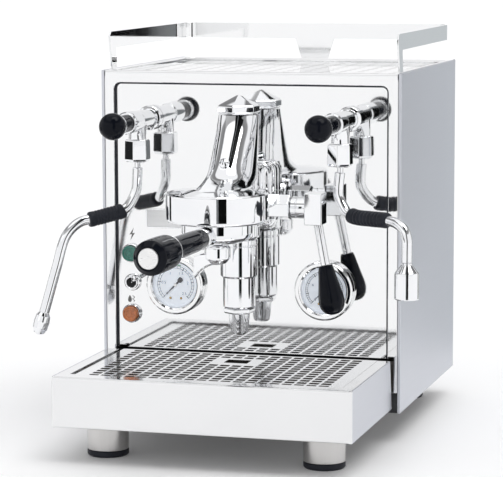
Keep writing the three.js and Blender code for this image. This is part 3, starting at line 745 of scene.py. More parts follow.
def side_panels():
    outline = [
        (BODY_HALF, 0), (BODY_HALF, BODY_DEPTH), (BODY_HALF - SHEET, BODY_DEPTH),
        (BODY_HALF - SHEET, SHEET), (BODY_HALF - 3, SHEET), (BODY_HALF - 3, 0),
    ]
    skin = prism(outline, BODY_BOTTOM, BODY_TOP)
    hem = block(BODY_HALF - 3, BODY_HALF - SHEET, SHEET, BODY_DEPTH, BODY_TOP - SHEET, BODY_TOP)
    right = merged(skin, hem)
    piece("right_panel", right, slot="satin_steel", replaces=["right_side_panel"], bevel=0.5)
    piece("left_panel", mirrored(right), slot="satin_steel", replaces=["left_side_panel"], bevel=0.5)


def screw_head(radius, height):
    """Domed screw head with a cross recess, seat at Z = 0."""
    dome = lathe([
        (0, 0), (radius, 0), (radius, height * 0.35, height * 0.3), (radius * 0.55, height * 0.9),
        (0, height),
    ], 36)
    reach, width = radius * 0.6, radius * 0.13
    low, high = height * 0.45, height * 1.2
    cross = merged(
        block(-width, width, -reach, reach, low, high),
        block(-reach, reach, -width, width, low, high),
    )
    return carved(dome, cross)


def carved(shape, tool):
    """The shape with the tool taken away."""
    kept, taken = [placed(name, to_mesh(name, part)) for name, part in (("keep", shape), ("take", tool))]
    modifier = kept.modifiers.new("carve", "BOOLEAN")
    modifier.operation = "DIFFERENCE"
    modifier.object = taken
    modifier.solver = "EXACT"
    modifier.use_self = True
    mesh = evaluated(kept)
    points = [(v.co - ORIGIN) / MM for v in mesh.vertices]
    faces = [list(face.vertices) for face in mesh.polygons]
    for item in (kept, taken):
        bpy.data.objects.remove(item)
    return points, faces


def back_of_cabinet():
    half = BODY_HALF - SHEET - 0.3
    inlet_left, inlet_right, inlet_low, inlet_high = -100.9, -74.1, 60.1, 82.9
    vent_near, vent_far, vent_height = 22, 98, 4
    xs = [-half, inlet_left, -vent_far, inlet_right, -vent_near, vent_near, vent_far, half]
    rows = [220 + 13 * i for i in range(8)]
    zs = [BODY_BOTTOM + 0.5, inlet_low, inlet_high] + strip(rows, 0, vent_height) + [BODY_TOP - 3]

    def filled(i, j):
        x, z = (xs[i] + xs[i + 1]) / 2, (zs[j] + zs[j + 1]) / 2
        inlet = inlet_left < x < inlet_right and inlet_low < z < inlet_high
        vent = vent_near < abs(x) < vent_far and any(row < z < row + vent_height for row in rows)
        return not inlet and not vent

    flat = perforated(xs, zs, filled, -BODY_DEPTH, -BODY_DEPTH + SHEET)
    sheet = [Vector((p.x, -p.z, p.y)) for p in flat[0]], flat[1]
    piece("back_sheet", sheet, slot="satin_steel", replaces=["back_panel"], bevel=0.35, edge_steps=2)
    blades = []
    for x in (-60, 60):
        for row in rows:
            outline = [(264.4, row + 4.6), (258.5, row - 1.2), (259.2, row - 1.9), (264.6, row + 3.6)]
            blades.append(prism(outline, x - 38, x + 38, "yz"))
    piece("back_louvres", merged(*blades), slot="satin_steel", bevel=0.15, edge_steps=2)
    opening = [(-97.5, 63.5, 2), (-77.5, 63.5, 2), (-77.5, 79.5, 5), (-97.5, 79.5, 5)]
    socket = carved(
        plate(-100.7, -74.3, 60.3, 82.7, 2, 242, BODY_DEPTH),
        prism(opening, 248, BODY_DEPTH + 2, "xz"),
    )
    piece("inlet_housing", socket, slot="black_plastic", replaces=["power_inlet"], bevel=0.3, edge_steps=2)
    places = [(-93, 69), (-82, 69), (-87.5, 74.5)]
    pins = [block(x - 1, x + 1, 247.6, 261, z - 2.2, z + 2.2) for x, z in places]
    piece("inlet_pins", merged(*pins), look="brass", bevel=0.25, edge_steps=2)
    heads = []
    for x in (-138, 138):
        for z in (45, 130, 215, 300, 343):
            heads.append(moved(aimed(screw_head(3.4, 1.9), BACK), x, BODY_DEPTH - 2.1, z))
    piece("back_screws", merged(*heads))


def front_of_cabinet():
    outer = FRAME_OUTER_HALF
    inner = FRAME_INNER_HALF
    outline = [
        (-outer, 48.3), (-inner, 48.3), (-inner, FRAME_LINTEL, 6.5), (inner, FRAME_LINTEL, 6.5),
        (inner, 48.3), (outer, 48.3), (outer, BODY_TOP - 2, 5), (-outer, BODY_TOP - 2, 5),
    ]
    piece("front_surround", prism(outline, 0, 2.6, "xz"), slot="mirror_steel", replaces=["front_frame"],
          bevel=0.5)
    roll = [
        (-0.02, 347), (-0.02, BODY_TOP, 3), (5, BODY_TOP), (5, BODY_TOP - 2), (2.4, BODY_TOP - 2),
        (2.4, 347),
    ]
    piece("front_roll", prism(roll, -outer + 0.6, outer - 0.6, "yz"), slot="mirror_steel")
    opening = rounded([
        (-inner, 81.7), (-inner, FRAME_LINTEL, 6.5), (inner, FRAME_LINTEL, 6.5), (inner, 81.7),
    ], steps=8)
    # A black rubber strip in the gap around the mirror sheet is painted shade: it stands for the shaded
    # gap.
    gap_shade = [(0.4, 0), (0.4, 2.4), (-1.6, 2.4, 0.4), (-1.6, 0)]
    piece("panel_gap_shade", upright(moulding(gap_shade, opening)), slot="rubber")
    finish_node("front_panel", "mirror_steel")
    finish_node("base_frame", "dark_steel")


def top_of_cabinet():
    outer = FRAME_OUTER_HALF
    edge = LID_HALF + 0.5
    front, back = LID_FRONT - 0.5, LID_BACK + 0.5
    xs = [-outer, -edge - 1.5, edge + 1.5, outer]
    ys = [2.9, front - 1.5, back + 1.5, BODY_DEPTH - SHEET - 0.3]
    ring = perforated(xs, ys, lambda i, j: not (i == 1 and j == 1), BODY_TOP - 1.9, BODY_TOP - 0.02)
    piece("top_ring", ring, slot="mirror_steel", replaces=["top_frame"], bevel=0.8)
    # The edge of the recess is rolled down to a ledge that the lid lies on.
    well = [
        (-3, BODY_TOP), (0, BODY_TOP, 2.2), (0, 349.5, 0.8), (5.5, 349.5), (5.5, 348.3), (-1.2, 348.3, 1),
        (-1.2, BODY_TOP - 1.4), (-3, BODY_TOP - 1.4),
    ]
    path = [(0, front), (edge, front), (edge, back), (-edge, back), (-edge, front), (0, front)]
    piece("top_well", moulding(well, path), slot="mirror_steel")
    dash_x = [17.9 * i for i in range(-7, 8)]
    dash_y = [26 + 20.5 * i for i in range(11)]
    dash_half, dash_width = 3.4, 2.6
    xs = [-LID_HALF] + strip(dash_x, dash_half, dash_half) + [LID_HALF]
    ys = [LID_FRONT] + strip(dash_y, 0, dash_width) + [LID_BACK]
    tray = perforated(xs, ys, lambda i, j: i % 2 == 0 or j % 2 == 0, LID_TOP - 1.3, LID_TOP)
    piece("lid_sheet", tray, "cup_tray", slot="mirror_steel", replaces=["cup_tray"], bevel=0.3,
          edge_steps=2)
    # Thin dark walls are painted shade: they stand for the shaded depth of the slots.
    edges = [
        block(x - 3.3, x + 3.3, y + 2.3, y + 2.55, LID_TOP - 1.25, LID_TOP - 0.04)
        for x in dash_x for y in dash_y
    ]
    piece("lid_slot_painted_shade", merged(*edges), "cup_tray", slot="mirror_steel", look="tray_painted_shade")


def cup_rail():
    front = 7
    foot = BODY_TOP + 0.3
    half = RAIL_HALF - 0.75
    back = RAIL_BACK - 0.75
    # From the left front corner round the back to the right front corner.
    plan = rounded([(-half, front), (-half, back, 12), (half, back, 12), (half, front)], steps=10)
    total = distances(plan)[-1]
    middle = total / 2
    corners = [
        (8, foot), (22, foot), (19.5, RAIL_BAND), (middle - 21, RAIL_BAND), (middle - 14.5, foot),
        (middle + 14.5, foot), (middle + 21, RAIL_BAND), (total - 19.5, RAIL_BAND), (total - 22, foot),
        (total - 8, foot), (total, RAIL_TOP - 5), (total - 5, RAIL_TOP), (5, RAIL_TOP), (0, RAIL_TOP - 5),
    ]
    outline = rounded([(along, z, 1.2) for along, z in corners], loop=True)
    band = bent_plate(outline, plan, 0.75)
    piece("rail_band", band, slot="mirror_steel", replaces=["cup_rail"], bevel=0.25, edge_steps=2)


def bent_plate(outline, plan, half_thickness):
    """A flat outline of (distance, height), cut into narrow columns and bent along a plan path."""
    reach = distances(plan)
    work = bmesh.new()
    work.faces.new([work.verts.new((p.x, 0, p.y)) for p in outline])
    for cut in reach[1:-1]:
        everything = work.verts[:] + work.edges[:] + work.faces[:]
        bmesh.ops.bisect_plane(work, geom=everything, plane_co=(cut, 0, 0), plane_no=(1, 0, 0), dist=1e-5)

    def normal_of(k):
        """Normal of one stretch of the path, or of its end stretch when k is past the end."""
        k = min(max(k, 0), len(plan) - 2)
        along = (plan[k + 1] - plan[k]).normalized()
        return Vector((-along.y, along.x))

    def place(distance, height, offset):
        k = 0
        while k < len(reach) - 2 and reach[k + 1] < distance - 1e-6:
            k += 1
        along = (plan[k + 1] - plan[k]).normalized()
        spot = plan[k] + along * (distance - reach[k])
        normal = normal_of(k)
        if abs(distance - reach[k]) < 1e-4:
            normal = (normal_of(k - 1) + normal).normalized()
        elif abs(distance - reach[k + 1]) < 1e-4:
            normal = (normal + normal_of(k + 1)).normalized()
        spot = spot + normal * offset
        return Vector((spot.x, spot.y, height))

    work.verts.ensure_lookup_table()
    work.verts.index_update()
    count = len(work.verts)
    points = []
    for offset in (half_thickness, -half_thickness):
        points.extend(place(v.co.x, v.co.z, offset) for v in work.verts)
    faces = [[v.index for v in face.verts] for face in work.faces]
    faces += [[i + count for i in reversed(face)] for face in faces]
    for edge in work.edges:
        if edge.is_boundary:
            a, b = [v.index for v in edge.verts]
            faces.append([a, b, b + count, a + count])
    work.free()
    return points, faces


def feet():
    places = [(-105, -119, 38.4), (105, -119, 38.4), (-105, 230, 28.3), (105, 230, 28.3)]
    for number, (x, y, top) in enumerate(places, 1):
        pad = lathe([
            (0, 0.6), (8, 0.6), (8.6, 0), (18.3, 0, 0.8), (FOOT_RADIUS, 1.6, 0.6),
            (FOOT_RADIUS, PAD_HEIGHT, 0.5), (0, PAD_HEIGHT),
        ], 64)
        piece(f"rubber_pad_{number}", moved(pad, x, y), slot="rubber", replaces=[f"foot_pad_{number}"])
        sleeve = lathe([
            (0, PAD_HEIGHT + 0.3), (FOOT_RADIUS, PAD_HEIGHT + 0.3, 0.6), (FOOT_RADIUS, top, 0.5), (0, top),
        ], 72)
        piece(f"chrome_sleeve_{number}", moved(sleeve, x, y), look="foot_steel",
              replaces=[f"foot_sleeve_{number}"])


def works_inside():
    looks = {
        "water_tank": "tank_plastic", "boiler": "copper", "pump": "black_plastic",
        "control_box": "black_plastic", "filter_basket": "chrome", "shower_screen": "chrome",
    }
    for node, look in looks.items():
        finish_node(node, look)


# ---- brew group ---------------------------------------------------------------------------------


def oval(x, y, z, half_x, half_y, power=2.0, count=48):
    """Level ring between an ellipse (power 2) and a rectangle (high power)."""
    ring = []
    for i in range(count):
        angle = 2 * math.pi * i / count
        cos, sin = math.cos(angle), math.sin(angle)
        ring.append(Vector((
            x + half_x * math.copysign(abs(cos) ** (2 / power), cos),
            y + half_y * math.copysign(abs(sin) ** (2 / power), sin),
            z,
        )))
    return ring


def brew_group():
    # The tower is round under the cap. Down its slope it grows longer from front to back, and its nose
    # runs out over the bell.
    # Each row holds a height, the ring's centre in Y, its two half widths and how square it is.
    tower = eased([
        (316.8, -36, 18.7, 18.9, 2.0), (308, -38, 19.3, 21.6, 2.05), (296, -42, 20, 26.4, 2.1),
        (280, -48, 20.7, 32.4, 2.15), (268, -53.5, 21.4, 37, 2.15), (262, -58, 21.8, 41, 2.15),
        (258, -65, 22.2, 46, 2.15), (255, -74, 22.6, 50, 2.1), (252.6, -84, 23.4, 52, 2.1),
        (250.8, -87, 26, 52, 2),
    ], 8)
    loft = rings([oval(0, y, z, half_x, half_y, power, 96) for z, y, half_x, half_y, power in tower])
    piece("group_tower", loft, replaces=["group_body"], angle=60)
    column = moved(rod(20, 199.2, 262, 64, 1), 0, GROUP_Y)
    cam = moved(aimed(rod(17, -25, 28, 64, 1.5), RIGHT), 0, GROUP_Y, CAM_Z)
    body = block(-19, 19, -36, -4, 209, 266)
    flange = plate(-28, 28, 205, 270, 9, -6, 3.7)
    skirt = plate(-23, 23, 206, 268, 9, -14, 0)
    cast("group_casting", [column, cam, body, flange, skirt])
    bell = lathe([
        (0, 243), (39, 243, 1), (39, 224), (39.8, 222.6), (47.9, 222.6, 4.6), (47.9, 248.8, 0.9),
        (46.2, 250.3, 0.3), (44.4, 250.3, 0.6), (22, 253.2, 6), (0, 253.6),
    ], 128)
    piece("group_bell", moved(bell, 0, HEAD_Y))
    cap = lathe([
        (0, 0), (19.4, 0), (19.4, 1.4), (20.5, 2.0), (20.5, 7.2), (19, 8.9), (1.6, 17.6), (0, 17.7),
    ], 6)
    cap = aimed(cap, UP, math.pi / 6)
    piece("hexagonal_cap", moved(cap, 0, GROUP_Y, 317.3), replaces=["group_cap"], bevel=0.45, angle=25)
    slope = Vector((0, -0.83, 0.557))
    face = Vector((0, -84.2, 274)) + slope * 1.5
    piece("tower_screw", moved(aimed(screw_head(4.9, 3.0), slope), *face), replaces=["cover_screw"])
    bolt = aimed(lathe([(0, 0), (4.6, 0), (4.6, 4, 0.6), (2.6, 4), (2.4, 2.6), (0, 2.6)], 36), -BACK)
    bolts = [moved(bolt, x, -6, z) for x in (-21, 21) for z in (213, 262)]
    piece("flange_bolts", merged(*bolts))
    lower_valve()


def lower_valve():
    body = lathe([
        (0, 132), (14.5, 132, 0.8), (15.5, 133.4, 0.8), (15.5, 161.2, 0.3), (16.4, 161.4),
        (17.9, 163, 0.8), (17.9, 191.2, 0.2), (17.2, 191.7), (17.2, 192.5), (17.9, 193, 0.2),
        (17.9, 197.4, 0.9), (16.6, 198.7, 0.5), (0, 198.7),
    ], 96)
    piece("lower_valve_body", moved(body, 0, GROUP_Y), replaces=["lower_valve"])
    nut = aimed(lathe([
        (0, 126.3), (13.4, 126.3), (15.2, 127.6), (15.2, 130.8), (14, 131.7), (0, 131.7),
    ], 6), UP, 0.45)
    piece("drain_nut", moved(nut, 0, GROUP_Y), replaces=["drain_tip"], bevel=0.4, angle=25)
    tip = lathe([
        (0, 109), (4.2, 109), (4.6, 106.2), (6.6, 106.2, 0.6), (8.0, 107.8, 0.6), (9.5, 118.2, 0.5),
        (10.3, 126.4), (0, 126.4),
    ], 72)
    piece("drain_nozzle", moved(tip, 0, GROUP_Y))


def brew_lever():
    nut = aimed(lathe([
        (0, 28.4), (11.4, 28.4), (12.5, 29.6), (12.5, 50.6), (11.2, 51.9), (0, 51.9),
    ], 6), RIGHT, 0.2)
    piece("packing_nut", moved(nut, 0, GROUP_Y, CAM_Z), replaces=["lever_nut"], bevel=0.4, angle=25)
    hub = aimed(lathe([
        (0, 52.4), (9.6, 52.4, 0.4), (10.4, 53.2), (10.4, 57.2, 0.3), (9.9, 57.6), (9.9, 58.4),
        (10.4, 58.8, 0.3), (10.4, 66.6), (0, 66.6),
    ], 64), RIGHT)
    square = plate(-10, 10, -15.5, 14.5, 0.8, 66.4, 83.6, "yz")
    piece("hub_sleeve", moved(hub, 0, GROUP_Y, CAM_Z), "lever", replaces=["lever_hub"])
    piece("hub_block", moved(square, 0, GROUP_Y, CAM_Z), "lever", bevel=1.0, edge_steps=4)
    direction = Vector((19.2, -6, -96)).normalized()
    pivot = (75, GROUP_Y, CAM_Z)
    arm = lathe([(0, 14), (4.3, 14), (4.3, 54.8, 0.3), (0, 54.8)], 40)
    piece("lever_arm", moved(aimed(arm, direction), *pivot), "lever", replaces=["lever_rod"])
    outline = [Vector((0.01, 55)), Vector((5.8, 55))]
    outline += [Vector((p.x, p.z)) for p in catmull_rom([
        (6.3, 0, 55.3), (7.2, 0, 58), (9.0, 0, 68), (11.0, 0, 79), (12.2, 0, 86), (12.3, 0, 90.5),
        (11.3, 0, 95.2), (9, 0, 98.9), (5.6, 0, 101.3), (2.6, 0, 102.1), (0.01, 0, 102.3),
    ], 40)]
    # Softly eight-sided, as a moulded handle is.
    loops = []
    for spot in outline:
        ring = []
        for i in range(64):
            angle = 2 * math.pi * i / 64
            radius = spot.x * (1 - 0.035 * (1 - math.cos(8 * angle)) / 2 * min(spot.x / 9, 1))
            ring.append(Vector((radius * math.cos(angle), radius * math.sin(angle), spot.y)))
        loops.append(ring)
    grip = rings(loops)
    piece("lever_handle", moved(aimed(grip, direction), *pivot), "lever", slot="black_gloss",
          replaces=["lever_grip"], angle=60)


# ---- portafilter --------------------------------------------------------------------------------


def portafilter():
    bowl = lathe([
        (0, 202), (12, 202.4, 4), (24, 204.2, 6), (31.5, 208, 6), (33.4, 213, 2), (33.6, 223.6, 0.8),
        (37, 224.8, 0.6), (37, 230.4, 0.6), (32, 230.8, 0.3), (31.2, 229), (31.2, 210, 2), (27, 207, 2),
        (0, 206),
    ], 96)
    piece("filter_holder", moved(bowl, 0, HEAD_Y), "portafilter", replaces=["portafilter_body"])
    along = Vector((math.sin(HANDLE_TURN), math.cos(HANDLE_TURN), 0))
    neck = aimed(lathe([
        (0, -44.5), (8.2, -44.5, 0.6), (8.6, -43), (8.4, -38, 3), (9.6, -31.5, 3), (9.8, -29), (0, -29),
    ], 56), along)
    piece("holder_neck", moved(neck, 0, HEAD_Y, HANDLE_Z), "portafilter")
    ears = [plate(x - 5, x + 5, 225.2, 230.2, 0.6, -9, 9) for x in (-37.5, 37.5)]
    piece("bayonet_ears", moved(merged(*ears), 0, HEAD_Y), "portafilter", bevel=0.5)
    shaft = aimed(lathe([
        (0, -49.4), (9.0, -49.4), (9.2, -51), (10.0, -70, 30), (10.2, -100, 40), (9.9, -127, 6),
        (11, -131.6, 4), (13.9, -135.4, 3), (15.4, -140.5, 8), (15.8, -152, 20), (15.8, -172, 10),
        (15.4, -180, 3.4), (10.8, -184.9, 3.2), (9.6, -184.9, 0.4), (9.5, -183.6), (0, -183.6),
    ], 96), along)
    piece("handle_shaft", moved(shaft, 0, HEAD_Y, HANDLE_Z), "portafilter", slot="black_gloss",
          replaces=["portafilter_handle"])
    collar = aimed(lathe([
        (0, -44.9), (9.2, -44.9, 0.4), (9.9, -45.8, 0.4), (9.9, -48.2, 0.4), (9.2, -49.3, 0.4), (0, -49.3),
    ], 64), along)
    piece("handle_collar", moved(collar, 0, HEAD_Y, HANDLE_Z), "portafilter")
    ring = aimed(lathe([
        (12.6, -133.9, 0.2), (14.2, -135.2, 0.3), (14.7, -137, 0.2), (13.4, -136, 0.2),
    ], 72, True), along)
    piece("handle_ring", moved(ring, 0, HEAD_Y, HANDLE_Z), "portafilter")
    cap = aimed(lathe([
        (0, -184.9), (8.9, -184.9, 0.4), (9.3, -184.4), (9.3, -183.7), (0, -183.7),
    ], 64), along)
    piece("end_disc", moved(cap, 0, HEAD_Y, HANDLE_Z), "portafilter", slot="satin_steel", look="end_cap",
          replaces=["handle_cap"])
    spout()


def trough(outer, inner, top, half, wall=1.3, corner=3.4):
    """One U-shaped section of the spout: bottom, inner floor and top edge as (x, z)."""
    section = []
    for foot, reach, radius in ((outer, half, corner), (inner, half - wall, corner - wall)):
        height = (Vector(top) - Vector(foot)).length
        loop = [(reach, 1.0)]
        for k in range(7):
            angle = math.pi / 2 * k / 6
            across = reach - radius + radius * math.cos(angle)
            loop.append((across, radius * (1 - math.sin(angle)) / height))
        loop += [(-across, share) for across, share in reversed(loop)]
        if reach != half:
            loop.reverse()
        for across, share in loop:
            spot = Vector(foot).lerp(Vector(top), share)
            section.append(Vector((spot.x, across, spot.y)))
    return section


def spout():
    bulb = lathe([
        (0, 183.7), (8, 183.7, 3), (12.2, 188.6, 4), (12.2, 198.6, 2.6), (10, 201.1, 0.8), (0, 201.4),
    ], 72)
    piece("spout_bulb", moved(bulb, 0, HEAD_Y), "portafilter", replaces=["spout"])
    # Each row: bottom, inner floor and top edge of the trough, and its half width.
    rows = eased([
        (7, 184.6, 6.4, 186.4, 5, 193, 7.6), (2.8, 183.1, 2.2, 185, 1, 193, 7.8),
        (-3, 182.7, -3.4, 184.6, -4, 193, 8), (-9, 180.4, -9.8, 183, -10, 192.6, 8),
        (-15.2, 176.1, -16.2, 178.6, -15.4, 191.8, 7.8), (-20.8, 169.9, -22.6, 171.6, -20.4, 190.4, 7.4),
    ], 6)
    loops = [trough(row[0:2], row[2:4], row[4:6], row[6]) for row in rows]
    piece("spout_beak", moved(rings(loops), 0, HEAD_Y), "portafilter", bevel=0.25, edge_steps=2, angle=40)


# ---- valves and wands ---------------------------------------------------------------------------

STEAM_ROUTE = [
    (-100, -40, 264.4), (-100.4, -40.6, 252), (-101, -41.6, 243), (-104, -43.9, 234),
    (-110.5, -48.8, 224.2), (-124, -58.9, 219.6), (-136.5, -68.1, 216.4), (-145, -74.2, 214.6),
    (-152.4, -79.6, 209), (-158.5, -84.2, 199.5), (-165.9, -89, 171), (-172, -93.2, 146),
    (-176.2, -95.9, 129),
]
WATER_ROUTE = [
    (100, -40, 264.4), (98.8, -40.6, 252), (99, -41.4, 243), (102.3, -43.4, 235.4), (108.6, -47.4, 227.6),
    (117.2, -52.8, 224.4), (135.5, -64.4, 224.2), (154.3, -76.4, 224.4), (165, -83.2, 222.4),
    (172, -87.6, 217.2), (174.9, -89.8, 209.5), (175.2, -90.3, 199), (175.2, -90.3, 188.6),
]


def valve(kind, x, z, knob_y):
    barrel = aimed(lathe([
        (0, -74.4), (8.9, -74.4), (9.6, -74.2, 0.5), (10.8, -71.6, 1.6), (10.6, -60), (10.2, -47.2, 0.5),
        (9.1, -46.2), (9.1, -44.9), (9.5, -44.2, 0.3), (9.2, -6.4, 0.8), (11.4, -5.4, 0.6),
        (12, -4.6, 0.5), (12, 3.6), (0, 3.6),
    ], 80), BACK)
    piece(f"{kind}_valve_barrel", moved(barrel, x, 0, z), replaces=[f"{kind}_valve"])
    branch = rings([
        oval(x, WAND_Y, 291.7, 8.5, 8.5), oval(x, WAND_Y, 295, 8.4, 8.6),
        oval(x, WAND_Y + 0.6, 299, 8.5, 9.8), oval(x, WAND_Y + 1.6, 303, 8.7, 12.6),
        oval(x, WAND_Y + 3, z, 8.8, 17),
    ])
    piece(f"{kind}_valve_branch", branch, angle=60)
    ball = []
    for i in range(25):
        angle = math.pi * (0.76 * i / 24)
        ball.append((KNOB_RADIUS * math.sin(angle), knob_y - KNOB_RADIUS * math.cos(angle)))
    end = knob_y + KNOB_RADIUS * 0.73
    ball.append((0, end))
    piece(f"{kind}_knob_ball", moved(aimed(lathe(ball, 80), BACK), x, 0, z), f"{kind}_knob",
          slot="black_gloss", replaces=[f"{kind}_knob"])
    ring = aimed(lathe([
        (8.2, end - 0.6), (10.2, end - 0.2, 0.6), (10.2, end + 3.2, 0.9), (8.2, end + 3.6, 0.3),
    ], 72, True), BACK)
    piece(f"{kind}_knob_ring", moved(ring, x, 0, z), f"{kind}_knob")
    neck = aimed(lathe([
        (0, end - 1), (8.4, end - 1), (8.4, -75.2, 0.5), (7.6, -74.8), (0, -74.8),
    ], 64), BACK)
    piece(f"{kind}_knob_neck", moved(neck, x, 0, z), f"{kind}_knob", slot="black_gloss")


def grip_radius(share):
    """Radius of a wand's grip at a share of its length: eight ring grooves between rounded ends."""
    widest, end_drop, end_share = 7.35, 0.9, 0.05
    first, grooved, grooves, depth = 0.14, 0.72, 8, 0.55
    edge = min(share, 1 - share)
    radius = widest - end_drop * (1 - min(edge / end_share, 1)) ** 2
    if first < share < first + grooved:
        wave = math.cos((share - first) / grooved * grooves * 2 * math.pi)
        radius -= depth * max(0, 0.5 - 0.5 * wave) ** 3
    return radius


def wand(kind, x, route, grip_from, grip_to, outlet):
    nut = aimed(lathe([
        (0, 269.6), (9.8, 269.6), (11.6, 270.4), (12.7, 272.4), (12.3, 289.6), (11.4, 291.3), (0, 291.3),
    ], 6), UP, 0.51)
    piece(f"{kind}_hex_nut", moved(nut, x, WAND_Y), f"{kind}_wand", replaces=[f"{kind}_wand_nut"],
          bevel=0.5, angle=25)
    body = f"{kind}_wand"
    path = catmull_rom(route, 160)
    step = (path[1] - path[0]).length
    radii = [min(4.3 + i * step, WAND_RADIUS) for i in range(len(path))]
    neck = moved(rod(2.9, route[0][2] - 1, 269.3, 32), x, WAND_Y)
    piece(f"{kind}_tube", merged(tube(path, radii), neck), body, replaces=[f"{kind}_wand"], angle=50)
    cover = resampled(path, grip_from, grip_to, 120)
    profile = [grip_radius(i / (len(cover) - 1)) for i in range(len(cover))]
    piece(f"{kind}_sleeve", tube(cover, profile, 40), body, slot="rubber", replaces=[f"{kind}_grip"],
          angle=60)
    end = path[-1]
    direction = (path[-1] - path[-2]).normalized()
    piece(f"{kind}_outlet", moved(aimed(outlet, direction), *(end + direction * 0.3)), body,
          replaces=["steam_tip" if kind == "steam" else "water_nozzle"])


def valves_and_wands():
    valve("steam", -VALVE_X, 309, -112)
    valve("water", VALVE_X, 311.5, -123)
    steam_tip = lathe([
        (0, 0), (4.9, 0, 0.3), (7.0, 3.4, 1), (7.6, 9, 4), (7.0, 16, 4), (4.8, 20.4, 2), (2, 21.9, 0.6),
        (0, 22),
    ], 64)
    holes = []
    for angle in (0.4, 0.4 + math.pi / 2, 0.4 + math.pi, 0.4 + 3 * math.pi / 2):
        x, y = math.cos(angle), math.sin(angle)
        holes.append(moved(aimed(rod(0.8, -3, 3, 16, 0), (x, y, 0.9)), 4.6 * x, 4.6 * y, 19.4))
    wand("steam", -VALVE_X, STEAM_ROUTE, 0.245, 0.44, carved(steam_tip, merged(*holes)))
    nozzle = lathe([
        (0, 0), (4.9, 0, 0.4), (5.3, 2.2, 1), (11.2, 9.4, 1.6), (11.4, 12, 1), (11.4, 33, 0.5),
        (10.9, 33.9), (9.9, 33.9, 0.3), (9.7, 30), (0, 30),
    ], 80)
    wand("water", VALVE_X, WATER_ROUTE, 0.31, 0.645, nozzle)


# ---- instruments --------------------------------------------------------------------------------

DIAL_Y = -0.6
ZERO_ANGLE = math.radians(225)
DIAL_SWEEP = math.radians(270)


def dial_spot(share, radius):
    """Place on a dial, share 0 at the lower left and 1 at the lower right."""
    angle = ZERO_ANGLE - DIAL_SWEEP * share
    return radius * math.cos(angle), radius * math.sin(angle)


def dial_bar(share, inner, outer, width):
    angle = ZERO_ANGLE - DIAL_SWEEP * share
    return spun(block(inner, outer, -0.03, 0.03, -width / 2, width / 2), -angle)


def gauge(kind, x, figures, ticks, marks):
    place = (x, 0, GAUGE_Z)
    bezel = aimed(lathe([
        (22.4, -0.6), (22.6, -4.4, 0.6), (24.2, -6.0, 0.8), (27.4, -6.15, 1.0), (28.9, -4.2, 1.2),
        (29, 3.7, 0.3), (26.2, 3.7), (26.2, 0.4),
    ], 120, True), BACK)
    piece(f"{kind}_bezel", moved(bezel, *place), slot="mirror_steel", replaces=[f"{kind}_gauge"])
    shell = aimed(lathe([(0, 30), (24.6, 30, 2), (26.2, 28, 1), (26.2, 0.45), (0, 0.45)], 64), BACK)
    piece(f"{kind}_gauge_can", moved(shell, *place), slot="mirror_steel", look="dark_steel")
    # The dial look glows with painted light.
    face = aimed(lathe([
        (0, DIAL_Y), (20.4, DIAL_Y), (22.3, DIAL_Y - 2.4, 0.6), (22.35, 0.3), (0, 0.3),
    ], 96), BACK)
    piece(f"{kind}_dial", moved(face, *place), slot="black_plastic", look="dial")
    front = DIAL_Y - 0.04
    bars = []
    for i in range(ticks + 1):
        inner, width = (16.4, 0.36) if i % 5 else (15.4, 0.66)
        bars.append(moved(dial_bar(i / ticks, inner, 18.6, width), 0, front, 0))
    for radius in (18.6, 16.4):
        arc = [Vector((*dial_spot(i / 80, radius), 0)) for i in range(81)]
        outline = [Vector((p.x, front, p.y)) for p in arc]
        bars.append(sweep(outline, lambda i: circle(0.19, 0, 6)))
    for share, text in figures:
        fx, fz = dial_spot(share, 12.4)
        bars.append(lettering(text, 4.0, fx, fz, front))
    piece(f"{kind}_dial_print", moved(merged(*bars), *place), slot="black_plastic", look="ink", angle=40)
    for start, end in marks:
        steps = 14
        inner = [dial_spot(start + (end - start) * i / steps, 19.1) for i in range(steps + 1)]
        outer = [dial_spot(start + (end - start) * i / steps, 20.1) for i in range(steps + 1)]
        band = prism(inner + outer[::-1], front - 0.03, front + 0.03, "xz")
        piece(f"{kind}_dial_band", moved(band, *place), slot="black_plastic", look="green_ink", angle=40)
    screws = [moved(aimed(screw_head(1.3, 0.7), -BACK), side, DIAL_Y, -13.2) for side in (-5.4, 5.4)]
    piece(f"{kind}_dial_screws", moved(merged(*screws), *place), slot="black_plastic", look="brass")
    glass = aimed(lathe([(0, -4.3), (22.5, -4.3), (22.5, -3.7), (0, -3.7)], 96), BACK)
    piece(f"{kind}_gauge_glass", moved(glass, *place), slot="mirror_steel", look="glass")
    needle(kind, place)


def needle(kind, place):
    outline = [
        (0, 17.6), (-0.95, 0), (-1.0, -4.2), (-2.5, -5.8, 0.9), (-2.5, -9, 0.9), (0, -10, 0.8),
        (2.5, -9, 0.9), (2.5, -5.8, 0.9), (1.0, -4.2), (0.95, 0),
    ]
    pointer = spun(prism(outline, -2.2, -1.7, "xz"), -math.pi * 0.75)
    piece(f"{kind}_pointer", moved(pointer, *place), f"{kind}_needle", slot="black_plastic", look="ink",
          replaces=[f"{kind}_needle"], bevel=0.12, edge_steps=2)
    hub = aimed(lathe([(0, -2.9), (1.7, -2.9, 0.3), (2.0, -2.2), (2.0, -0.9), (0, -0.9)], 40), BACK)
    piece(f"{kind}_pointer_hub", moved(hub, *place), f"{kind}_needle", slot="black_plastic", look="end_cap")


